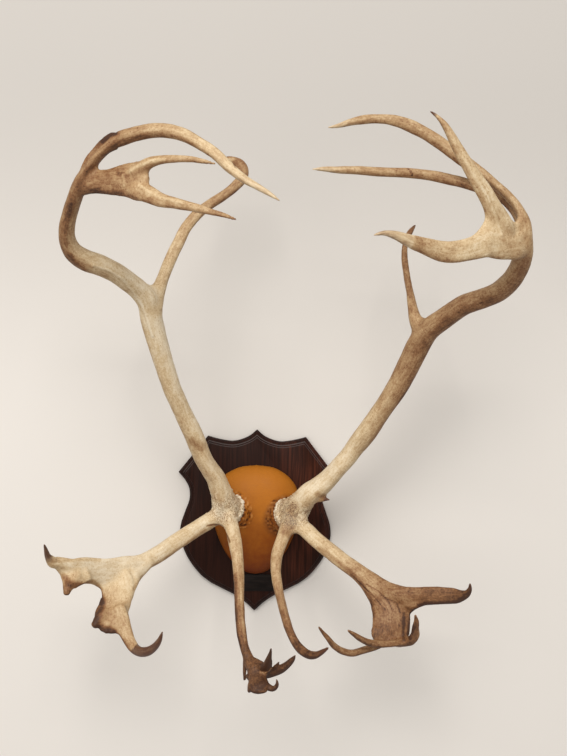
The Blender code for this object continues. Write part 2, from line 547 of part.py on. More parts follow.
def build():
    clear_scene()
    bone = paint("antler", (0.50, 0.37, 0.22), 0.55)
    wood = paint("walnut", (0.045, 0.018, 0.010), 0.35)
    leather = paint("leather", (0.42, 0.16, 0.03), 0.45)
    black = paint("black plate", (0.01, 0.01, 0.01), 0.3)
    steel = paint("steel", (0.55, 0.55, 0.55), 0.35, 1.0)
    shield = build_shield(wood)
    build_hanger(shield, steel)
    build_cap(leather, (LEFT_MAIN, RIGHT_MAIN))
    rounded_plate("name_plate", PLATE_SIZE, PLATE_CORNER, SHIELD_THICK + GAP, PLATE_THICK,
                  PLATE_MIDDLE, black)
    build_left_antler(bone)
    build_right_antler(bone)


build()
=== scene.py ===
import bmesh
import bpy
import math
import numpy as np
from mathutils import Matrix, Vector
from mathutils.geometry import intersect_line_line_2d


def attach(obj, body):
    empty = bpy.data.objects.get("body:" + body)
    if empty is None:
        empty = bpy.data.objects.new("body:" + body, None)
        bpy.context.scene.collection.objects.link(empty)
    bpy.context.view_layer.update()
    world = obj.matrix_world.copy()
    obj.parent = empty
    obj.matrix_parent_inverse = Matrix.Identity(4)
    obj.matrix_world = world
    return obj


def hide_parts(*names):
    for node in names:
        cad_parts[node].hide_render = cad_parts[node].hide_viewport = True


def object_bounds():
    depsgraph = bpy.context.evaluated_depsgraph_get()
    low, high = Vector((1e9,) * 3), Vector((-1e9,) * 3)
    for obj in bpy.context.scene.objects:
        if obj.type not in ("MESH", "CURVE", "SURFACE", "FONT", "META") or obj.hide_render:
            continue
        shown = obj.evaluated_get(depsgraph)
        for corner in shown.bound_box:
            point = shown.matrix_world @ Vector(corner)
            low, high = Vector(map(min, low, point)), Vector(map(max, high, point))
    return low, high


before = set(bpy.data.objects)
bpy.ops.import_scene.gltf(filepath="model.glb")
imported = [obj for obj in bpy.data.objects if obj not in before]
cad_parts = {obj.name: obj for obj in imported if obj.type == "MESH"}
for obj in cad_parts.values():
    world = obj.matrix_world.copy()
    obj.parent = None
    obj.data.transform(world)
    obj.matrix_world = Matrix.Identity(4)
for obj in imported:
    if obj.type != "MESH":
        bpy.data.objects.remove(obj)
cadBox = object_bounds()

mm = 0.001
awayFromViewer = np.array((0.0, 1.0, 0.0))
leastFlare = 2 * mm  # how far any branch softens into its neighbour
furthestReach = 12 * mm  # how far from a branch its surface still counts
crookedAngle = math.radians(1.25)  # the mount hung this far off plumb when it was measured
print("frame loaded")


# Small helpers for numbers on a mesh

def smoothStep(low, high, value):
    t = np.clip((value - low) / (high - low), 0, 1)
    return t * t * (3 - 2 * t)


def latticeNoise(points, seed):
    # smooth random lumps about one unit across, from -1 to 1
    cell = np.floor(points).astype(np.int64)
    part = points - cell
    part = part * part * (3 - 2 * part)
    total = np.zeros(len(points))
    for corner in range(8):
        step = np.array((corner & 1, corner >> 1 & 1, corner >> 2 & 1))
        x, y, z = (cell + step).T
        mixed = x * 73856093 ^ y * 19349663 ^ z * 83492791 ^ seed * 2654435761
        mixed = (mixed ^ mixed >> 13) * 1274126177 & 0x7fffffff
        mixed = (mixed ^ mixed >> 16) & 0xffff
        share = np.prod(np.where(step, part, 1 - part), axis=1)
        total += share * (mixed / 32767.5 - 1)
    return total


def layeredNoise(points, seed, layers=3):
    total = np.zeros(len(points))
    for layer in range(layers):
        total += latticeNoise(points * 2.03 ** layer, seed + layer) / 2 ** layer
    return total / 1.75


def curveThrough(points, step):
    # the same smooth run through a branch's stations as the solids have
    points = [tuple(float(value) for value in point) for point in points]
    last = len(points) - 1

    def distance(a, b):
        return max(math.dist(points[a][:3], points[b][:3]), 1e-6)

    def slope(i, k):
        before, after = max(i - 1, 0), min(i + 1, last)
        if before == i or after == i:
            return (points[after][k] - points[before][k]) / distance(before, after)
        back, ahead = distance(before, i), distance(i, after)
        rateBack = (points[i][k] - points[before][k]) / back
        rateAhead = (points[after][k] - points[i][k]) / ahead
        return (rateBack * ahead + rateAhead * back) / (back + ahead)

    samples = []
    for i in range(last):
        length = distance(i, i + 1)
        count = max(1, round(length / step))
        for j in range(count):
            s = j / count
            samples.append([
                (2 * s ** 3 - 3 * s ** 2 + 1) * points[i][k]
                + (s ** 3 - 2 * s ** 2 + s) * length * slope(i, k)
                + (3 * s ** 2 - 2 * s ** 3) * points[i + 1][k]
                + (s ** 3 - s ** 2) * length * slope(i + 1, k)
                for k in range(len(points[0]))])
    samples.append(list(points[last]))
    return np.array(samples)


def turnUpright(x, z):
    return (x * math.cos(crookedAngle) - z * math.sin(crookedAngle),
            x * math.sin(crookedAngle) + z * math.cos(crookedAngle))


def unit(vectors):
    return vectors / np.maximum(np.linalg.norm(vectors, axis=1, keepdims=True), 1e-12)


def followBranch(branch, step=4):
    # middle line, axes and half sizes along one branch, in metres
    stations = []
    for x, z, out, width, thick in branch:
        x, z = turnUpright(x, z)
        stations.append((x, -out, z, width, thick))
    samples = curveThrough(stations, step)
    centre = samples[:, :3] * mm
    along = unit(np.gradient(centre, axis=0))
    across = unit(np.cross(along, awayFromViewer))
    deep = np.cross(along, across)
    run = np.concatenate(([0], np.cumsum(np.linalg.norm(np.diff(centre, axis=0), axis=1))))
    return {"centre": centre, "along": along, "across": across, "deep": deep,
            "half": np.maximum(samples[:, 3:5] / 2 * mm, 1.15 * mm), "run": run}


def intoBranch(line, points):
    # each point's run along the branch, its offsets from the middle line, its distance from
    # the branch's oval surface and the way that the surface faces there
    centre = line["centre"]
    nearest = np.argmin((centre ** 2).sum(1) - 2 * points @ centre.T, axis=1)
    ahead = ((points - centre[nearest]) * line["along"][nearest]).sum(1)
    spacing = np.diff(line["run"])
    forward = np.minimum(nearest, len(spacing) - 1)
    backward = np.maximum(nearest - 1, 0)
    shift = np.where(ahead > 0, ahead / spacing[forward], ahead / spacing[backward])
    place = np.clip(nearest + np.clip(shift, -1, 1), 0, len(centre) - 1)
    low = np.minimum(place.astype(int), len(centre) - 2)
    share = (place - low)[:, None]

    def at(name):
        return line[name][low] * (1 - share) + line[name][low + 1] * share

    along, across, deep = at("along"), at("across"), at("deep")
    offset = points - at("centre")
    a = (offset * across).sum(1)
    b = (offset * deep).sum(1)
    e = (offset * along).sum(1)
    e = np.where((place <= 0) | (place >= len(centre) - 1), e, 0)
    half = at("half")
    blunt = half.min(1)
    near = np.sqrt((a / half[:, 0]) ** 2 + (b / half[:, 1]) ** 2 + (e / blunt) ** 2)
    slopes = a / half[:, 0] ** 2, b / half[:, 1] ** 2, e / blunt ** 2
    steep = np.sqrt(slopes[0] ** 2 + slopes[1] ** 2 + slopes[2] ** 2)
    run = line["run"][low] * (1 - share[:, 0]) + line["run"][low + 1] * share[:, 0]
    distance = np.where(near < 1e-3, -blunt, near * (near - 1) / np.maximum(steep, 1e-9))
    facing = unit(across * slopes[0][:, None] + deep * slopes[1][:, None]
                  + along * slopes[2][:, None])
    return run, a, b, distance, facing


def closeTo(line, points, reach):
    reach += line["half"].max()
    inside = ((points > line["centre"].min(0) - reach)
              & (points < line["centre"].max(0) + reach))
    return np.where(inside.all(1))[0]


def distanceOutside(lines, blends, points):
    # distance from all the branches, grown together at their forks. Faces that look the same
    # way meet without a swelling, so flat palms stay flat.
    total = np.full(len(points), 1.0)
    facing = np.zeros((len(points), 3))
    for line, blend in zip(lines, blends):
        near = closeTo(line, points, blend + furthestReach)
        if not len(near):
            continue
        run, _, _, here, outward = intoBranch(line, points[near])
        before, outwardBefore = total[near], facing[near]
        flare = blend * (1 - smoothStep(2 * blend, 3.5 * blend, run)) + leastFlare
        width = flare * (1 - (outward * outwardBefore).sum(1)) / 2 + 1e-6
        mix = np.clip(0.5 + 0.5 * (before - here) / width, 0, 1)
        total[near] = before * (1 - mix) + here * mix - width * mix * (1 - mix)
        facing[near] = unit(outwardBefore * (1 - mix)[:, None] + outward * mix[:, None])
    return total


def joinRings(bm, rings):
    # faces between each closed ring of points and the next
    for ring, following in zip(rings, rings[1:]):
        for k in range(len(ring)):
            after = (k + 1) % len(ring)
            bm.faces.new((ring[k], ring[after], following[after], following[k]))


def meshFrom(bm, name):
    mesh = bpy.data.meshes.new(name)
    bm.to_mesh(mesh)
    bm.free()
    return mesh


def addTube(bm, line, sides=18):
    rings = []
    for centre, across, deep, half in zip(line["centre"], line["across"], line["deep"],
                                          line["half"]):
        ring = []
        for k in range(sides):
            turn = math.tau * k / sides
            ring.append(bm.verts.new(centre + across * half[0] * math.cos(turn)
                                     + deep * half[1] * math.sin(turn)))
        rings.append(ring)
    joinRings(bm, rings)
    bm.faces.new(reversed(rings[0]))
    bm.faces.new(rings[-1])


def remeshed(mesh, voxel):
    # one closed skin of even small faces round everything in the mesh
    holder = bpy.data.objects.new("holder", mesh)
    bpy.context.scene.collection.objects.link(holder)
    modifier = holder.modifiers.new("even skin", "REMESH")
    modifier.mode = "VOXEL"
    modifier.voxel_size = voxel
    graph = bpy.context.evaluated_depsgraph_get()
    skin = bpy.data.meshes.new_from_object(holder.evaluated_get(graph))
    bpy.data.objects.remove(holder)
    return skin


def readPoints(mesh, kind="co"):
    values = np.empty(len(mesh.vertices) * 3)
    mesh.vertices.foreach_get(kind, values)
    return values.reshape(-1, 3)


def writePoints(mesh, points):
    mesh.vertices.foreach_set("co", points.ravel())
    mesh.update()


def edgesOf(mesh):
    ends = np.empty(len(mesh.edges) * 2, np.int64)
    mesh.edges.foreach_get("vertices", ends)
    return ends.reshape(-1, 2)


def averaged(values, edges):
    # each vertex's value set to the mean of its neighbours'
    values = values.reshape(len(values), -1)
    count = np.bincount(edges.ravel(), minlength=len(values))
    result = np.empty_like(values)
    for k in range(values.shape[1]):
        summed = np.bincount(edges[:, 0], values[edges[:, 1], k], len(values))
        summed += np.bincount(edges[:, 1], values[edges[:, 0], k], len(values))
        result[:, k] = summed / np.maximum(count, 1)
    return result


def largestPart(mesh):
    # drops specks that the skin left beside thin tips
    bm = bmesh.new()
    bm.from_mesh(mesh)
    bm.verts.ensure_lookup_table()
    part = [-1] * len(bm.verts)
    sizes = []
    for start in bm.verts:
        if part[start.index] >= 0:
            continue
        part[start.index] = len(sizes)
        waiting, size = [start], 0
        while waiting:
            here = waiting.pop()
            size += 1
            for edge in here.link_edges:
                other = edge.other_vert(here)
                if part[other.index] < 0:
                    part[other.index] = len(sizes)
                    waiting.append(other)
        sizes.append(size)
    main = sizes.index(max(sizes))
    loose = [v for v in bm.verts if part[v.index] != main]
    bmesh.ops.delete(bm, geom=loose, context="VERTS")
    bm.to_mesh(mesh)
    bm.free()
    return mesh


def store(mesh, name, values):
    if values.ndim == 2:
        layer = mesh.attributes.new(name, "FLOAT_VECTOR", "POINT")
        layer.data.foreach_set("vector", values.astype(np.float32).ravel())
    else:
        layer = mesh.attributes.new(name, "FLOAT", "POINT")
        layer.data.foreach_set("value", values.astype(np.float32))


def addPiece(name, mesh, material, replaced=()):
    piece = bpy.data.objects.new(name, mesh)
    bpy.context.scene.collection.objects.link(piece)
    mesh.materials.clear()
    mesh.materials.append(material)
    mesh.shade_smooth()
    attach(piece, "root")
    if replaced:
        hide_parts(*replaced)
    return piece


# Materials

def newMaterial(name):
    material = bpy.data.materials.new(name)
    material.use_nodes = True
    tree = material.node_tree
    return material, tree, tree.nodes["Principled BSDF"]


def addNode(tree, kind, settings=None, **inputs):
    made = tree.nodes.new(kind)
    for key, value in (settings or {}).items():
        setattr(made, key, value)
    for key, value in inputs.items():
        setInput(tree, made, key.replace("_", " "), value)
    return made


def setInput(tree, made, key, value):
    socket = made.inputs[int(key[1:])] if key[0] == "i" and key[1:].isdigit() else made.inputs[key]
    if isinstance(value, bpy.types.NodeSocket):
        tree.links.new(value, socket)
    else:
        socket.default_value = value


def attribute(tree, name, output="Fac"):
    return addNode(tree, "ShaderNodeAttribute", {"attribute_name": name}).outputs[output]


def stretched(tree, vector, scale):
    return addNode(tree, "ShaderNodeMapping", Vector=vector, Scale=scale).outputs["Vector"]


def noise(tree, vector, scale, detail=4.0, roughness=0.55, distortion=0.0):
    return addNode(tree, "ShaderNodeTexNoise", Vector=vector, Scale=scale, Detail=detail,
                   Roughness=roughness, Distortion=distortion).outputs["Fac"]


def ranged(tree, value, low, high, toLow=0.0, toHigh=1.0):
    made = addNode(tree, "ShaderNodeMapRange", {"interpolation_type": "SMOOTHSTEP"})
    for key, number in (("Value", value), ("From Min", low), ("From Max", high),
                        ("To Min", toLow), ("To Max", toHigh)):
        setInput(tree, made, key, number)
    return made.outputs["Result"]


def calc(tree, operation, first, second=0.0):
    made = addNode(tree, "ShaderNodeMath", {"operation": operation}, i0=first, i1=second)
    return made.outputs[0]


def blended(tree, share, first, second, kind="MIX"):
    made = addNode(tree, "ShaderNodeMix", {"data_type": "RGBA", "blend_type": kind})
    for socket, value in ((made.inputs[0], share), (made.inputs[6], first),
                          (made.inputs[7], second)):
        if isinstance(value, bpy.types.NodeSocket):
            tree.links.new(value, socket)
        elif socket == made.inputs[0]:
            socket.default_value = value
        else:
            socket.default_value = (*value, 1.0)
    return made.outputs[2]


def bumped(tree, height, strength, distance, normal=None):
    made = addNode(tree, "ShaderNodeBump", Height=height, Strength=strength, Distance=distance)
    if normal:
        tree.links.new(normal, made.inputs["Normal"])
    return made.outputs["Normal"]


def ramped(tree, value, stops):
    made = addNode(tree, "ShaderNodeValToRGB", Fac=value)
    elements = made.color_ramp.elements
    while len(elements) < len(stops):
        elements.new(0.5)
    for element, (place, colour) in zip(elements, stops):
        element.position = place
        element.color = (*colour, 1.0)
    return made.outputs["Color"]


boneLook = {
    # the bone's colours from its palest to its darkest tone
    "ramp": ((0.0, (0.82, 0.69, 0.50)), (0.25, (0.65, 0.488, 0.288)), (0.5, (0.42, 0.26, 0.127)),
             (0.75, (0.225, 0.1, 0.038)), (1.0, (0.062, 0.023, 0.009))),
    "grey": (0.36, 0.30, 0.21), "pearl": (0.84, 0.74, 0.58), "polished": (0.72, 0.58, 0.38),
    "darkTip": (0.1, 0.036, 0.016), "rough": (0.56, 0.36), "specular": 0.35,
    # how finely each kind of marking is spaced, and how far it shifts the tone
    "blotch": 42.0, "blotchShift": 0.07, "streak": (50, 260, 260), "streakShift": 0.06,
    "dash": (150, 520, 520), "dashShift": 0.13, "mottle": 260.0, "mottleShift": 0.05,
    "fineStreak": (60, 900, 900), "pit": 430.0, "worm": 170.0, "wormShift": 0.62,
}


def makeBone():
    look = boneLook
    material, tree, shader = newMaterial("weatheredAntler")
    grain = attribute(tree, "grain", "Vector")
    place = addNode(tree, "ShaderNodeTexCoord").outputs["Object"]
    height = attribute(tree, "relief")
    hub = attribute(tree, "hub")
    along = calc(tree, "SUBTRACT", 1.0, attribute(tree, "fork"))
    tipDark = attribute(tree, "tipDark")
    tipPale = attribute(tree, "tipPale")

    blotch = noise(tree, place, look["blotch"], 3.0)
    streak = noise(tree, stretched(tree, grain, look["streak"]), 1.0, 4.0, 0.6)
    dash = noise(tree, stretched(tree, grain, look["dash"]), 1.0, 3.0, 0.6)
    mottle = noise(tree, place, look["mottle"], 4.0, 0.65)
    pit = noise(tree, place, look["pit"], 2.0, 0.6)
    tone = attribute(tree, "tone")
    shifts = (
        ranged(tree, blotch, 0.32, 0.68, -look["blotchShift"], look["blotchShift"]),
        calc(tree, "MULTIPLY", along,
             ranged(tree, streak, 0.36, 0.64, -look["streakShift"], look["streakShift"])),
        calc(tree, "MULTIPLY", along, ranged(tree, dash, 0.56, 0.70, -0.01, look["dashShift"])),
        ranged(tree, mottle, 0.34, 0.66, -look["mottleShift"], look["mottleShift"] * 1.4),
        ranged(tree, pit, 0.58, 0.70, 0.0, 0.2),
        # painted shade in the hollows of the relief, and painted light on its highs
        ranged(tree, height, -0.1, -1.0, 0.0, 0.1),
        ranged(tree, height, 0.2, 1.0, 0.0, -0.06))
    for shift in shifts:
        tone = calc(tree, "ADD", tone, shift)
    worm = noise(tree, place, look["worm"], 3.0, 0.55, 1.2)
    worm = calc(tree, "ABSOLUTE", calc(tree, "SUBTRACT", worm, 0.5))
    worm = calc(tree, "MULTIPLY", ranged(tree, worm, 0.0, 0.06, look["wormShift"], -0.1), hub)
    tone = calc(tree, "ADD", tone, worm)
    colour = ramped(tree, tone, look["ramp"])
    colour = blended(tree, calc(tree, "MULTIPLY", hub, ranged(tree, blotch, 0.3, 0.6, 0.5, 0.15)),
                     colour, look["grey"])
    raised = calc(tree, "MULTIPLY", ranged(tree, height, 0.7, 1.6, 0.0, 0.85), hub)
    colour = blended(tree, raised, colour, look["pearl"])
    tipEdge = calc(tree, "MULTIPLY", tipPale, ranged(tree, streak, 0.3, 0.65, 0.8, 0.2))
    colour = blended(tree, tipEdge, colour, look["polished"])
    darkEdge = calc(tree, "MULTIPLY", tipDark, ranged(tree, streak, 0.35, 0.62, 0.82, 1.0))
    colour = blended(tree, darkEdge, colour, look["darkTip"])
    tree.links.new(colour, shader.inputs["Base Color"])

    polish = calc(tree, "MAXIMUM", tipPale, tipDark)
    setInput(tree, shader, "Roughness", ranged(tree, polish, 0.0, 1.0, *look["rough"]))
    shader.inputs["Specular IOR Level"].default_value = look["specular"]
    fine = noise(tree, stretched(tree, grain, look["fineStreak"]), 1.0, 2.0, 0.6)
    fine = calc(tree, "MULTIPLY", fine, along)
    rough = calc(tree, "ADD", calc(tree, "ADD", fine, mottle), calc(tree, "MULTIPLY", dash, -0.8))
    tree.links.new(bumped(tree, rough, 0.4, 0.001), shader.inputs["Normal"])
    return material


leatherLook = {
    "golden": (0.46, 0.155, 0.014), "russet": (0.148, 0.024, 0.0024),
    "crease": (0.05, 0.012, 0.004), "crinkleWearAndHighlight": (0.56, 0.24, 0.06),
    "collar": (0.10, 0.028, 0.008), "hemEdge": (0.62, 0.26, 0.05),
    "highest": 0.125, "lowest": -0.1,  # where it is all golden, and all russet
    "cloud": 20.0, "grain": 620.0, "rough": (0.42, 0.56), "specular": 0.14,
}


def makeLeather():
    look = leatherLook
    material, tree, shader = newMaterial("tanLeather")
    place = addNode(tree, "ShaderNodeTexCoord").outputs["Object"]
    split = addNode(tree, "ShaderNodeSeparateXYZ", Vector=place).outputs
    cloud = noise(tree, place, look["cloud"], 5.0, 0.65)
    # lighter towards the top: partly the leather's own colour, partly painted light from above
    lift = calc(tree, "ADD", split["Z"], ranged(tree, cloud, 0.28, 0.72, 0.0, 0.052))
    fade = ranged(tree, lift, look["lowest"], look["highest"])
    colour = blended(tree, fade, look["russet"], look["golden"])
    hemEdge = calc(tree, "MULTIPLY", ranged(tree, split["Y"], -0.0275, -0.0235, 0.0, 0.55),
                   ranged(tree, split["Z"], 0.03, 0.1))
    colour = blended(tree, hemEdge, colour, look["hemEdge"])
    puckers = attribute(tree, "pucker")
    # crinkle hollows get painted shade in their creases; crinkle tops get a lighter colour, partly
    # wear and partly painted highlight
    colour = blended(tree, ranged(tree, puckers, -0.1, -0.8, 0.0, 0.75), colour, look["crease"])
    colour = blended(tree, ranged(tree, puckers, 0.2, 0.8, 0.0, 0.8), colour, look["crinkleWearAndHighlight"])
    colour = blended(tree, attribute(tree, "collarShade"), colour, look["collar"])
    grain = addNode(tree, "ShaderNodeTexVoronoi", {"feature": "DISTANCE_TO_EDGE"}, Vector=place,
                    Scale=look["grain"]).outputs["Distance"]
    colour = blended(tree, ranged(tree, grain, 0.08, 0.0, 0.0, 0.25), colour, look["crease"])
    tree.links.new(colour, shader.inputs["Base Color"])
    setInput(tree, shader, "Roughness", ranged(tree, cloud, 0.3, 0.7, *look["rough"]))
    shader.inputs["Specular IOR Level"].default_value = look["specular"]
    tree.links.new(bumped(tree, ranged(tree, grain, 0.0, 0.12), 0.25, 0.0004),
                   shader.inputs["Normal"])
    return material


walnutLook = {
    "dark": (0.0145, 0.0046, 0.0026), "red": (0.031, 0.0092, 0.0052),
    "rightSideLight": (0.075, 0.0205, 0.0105), "line": (0.006, 0.0022, 0.0014), "shine": (0.14, 0.12, 0.115),
    "rough": (0.4, 0.5), "specular": 0.10,
    # how far each layer of the grain is squeezed, and how far the grain sways
    "sway": (9, 9, 3), "swayWide": 0.035, "grain": (230, 90, 9), "broad": (14, 14, 5),
    "fineLine": (900, 300, 16),
}


def makeWalnut():
    look = walnutLook
    material, tree, shader = newMaterial("darkWalnut")
    place = addNode(tree, "ShaderNodeTexCoord").outputs["Object"]
    sway = noise(tree, stretched(tree, place, look["sway"]), 1.0, 2.0)
    bent = addNode(tree, "ShaderNodeVectorMath", {"operation": "ADD"}, i0=place)
    shift = addNode(tree, "ShaderNodeCombineXYZ", X=calc(tree, "MULTIPLY", sway, look["swayWide"]))
    tree.links.new(shift.outputs["Vector"], bent.inputs[1])
    swayed = bent.outputs["Vector"]
    grain = noise(tree, stretched(tree, swayed, look["grain"]), 1.0, 4.0, 0.6)
    colour = blended(tree, ranged(tree, grain, 0.3, 0.72), look["dark"], look["red"])
    across = addNode(tree, "ShaderNodeSeparateXYZ", Vector=swayed).outputs["X"]
    broad = noise(tree, stretched(tree, place, look["broad"]), 1.0, 2.0)
    # painted light: towards the right side the shield turns lighter and redder, broken up by broad
    # figure and grain
    rightSideLight = calc(tree, "MULTIPLY", ranged(tree, across, -0.02, 0.15), ranged(tree, broad, 0.4, 0.62))
    rightSideLight = calc(tree, "MULTIPLY", rightSideLight, ranged(tree, grain, 0.4, 0.62, 0.25, 1.0))
    colour = blended(tree, rightSideLight, colour, look["rightSideLight"])
    fine = noise(tree, stretched(tree, swayed, look["fineLine"]), 1.0, 2.0, 0.5)
    colour = blended(tree, ranged(tree, fine, 0.56, 0.72, 0.0, 0.45), colour, look["line"])
    colour = blended(tree, attribute(tree, "edgeShine"), colour, look["shine"])
    tree.links.new(colour, shader.inputs["Base Color"])
    setInput(tree, shader, "Roughness", ranged(tree, fine, 0.4, 0.7, *look["rough"]))
    shader.inputs["Specular IOR Level"].default_value = look["specular"]
    tree.links.new(bumped(tree, fine, 0.15, 0.0004), shader.inputs["Normal"])
    return material


plateLook = {"black": (0.006, 0.0035, 0.0025), "rubbed": (0.012, 0.007, 0.005),
             "rub": (40, 40, 300), "rough": (0.3, 0.42), "specular": 0.15}


def makePlateBlack():
    look = plateLook
    material, tree, shader = newMaterial("blackEnamel")
    place = addNode(tree, "ShaderNodeTexCoord").outputs["Object"]
    rub = noise(tree, stretched(tree, place, look["rub"]), 1.0, 3.0)
    colour = blended(tree, ranged(tree, rub, 0.4, 0.7), look["black"], look["rubbed"])
    tree.links.new(colour, shader.inputs["Base Color"])
    setInput(tree, shader, "Roughness", ranged(tree, rub, 0.3, 0.7, *look["rough"]))
    shader.inputs["Specular IOR Level"].default_value = look["specular"]
    return material


steelLook = {"dull": (0.42, 0.42, 0.41), "bright": (0.62, 0.61, 0.58), "brushed": (1500, 200, 60),
             "rough": (0.28, 0.46)}


def makeSteel():
    look = steelLook
    material, tree, shader = newMaterial("zincSteel")
    place = addNode(tree, "ShaderNodeTexCoord").outputs["Object"]
    brushed = noise(tree, stretched(tree, place, look["brushed"]), 1.0, 3.0)
    colour = blended(tree, ranged(tree, brushed, 0.35, 0.7), look["dull"], look["bright"])
    tree.links.new(colour, shader.inputs["Base Color"])
    shader.inputs["Metallic"].default_value = 1.0
    setInput(tree, shader, "Roughness", ranged(tree, brushed, 0.3, 0.7, *look["rough"]))
    tree.links.new(bumped(tree, brushed, 0.1, 0.0002), shader.inputs["Normal"])
    return material


bone = makeBone()
leather = makeLeather()
walnut = makeWalnut()
plateBlack = makePlateBlack()
steel = makeSteel()
print("materials made")


# Antlers. Each branch is a list of stations, in millimetres: x, z, distance from the wall,
# width as seen from the front, thickness from front to back. "grow" is how widely a branch
# flares into what carries it.

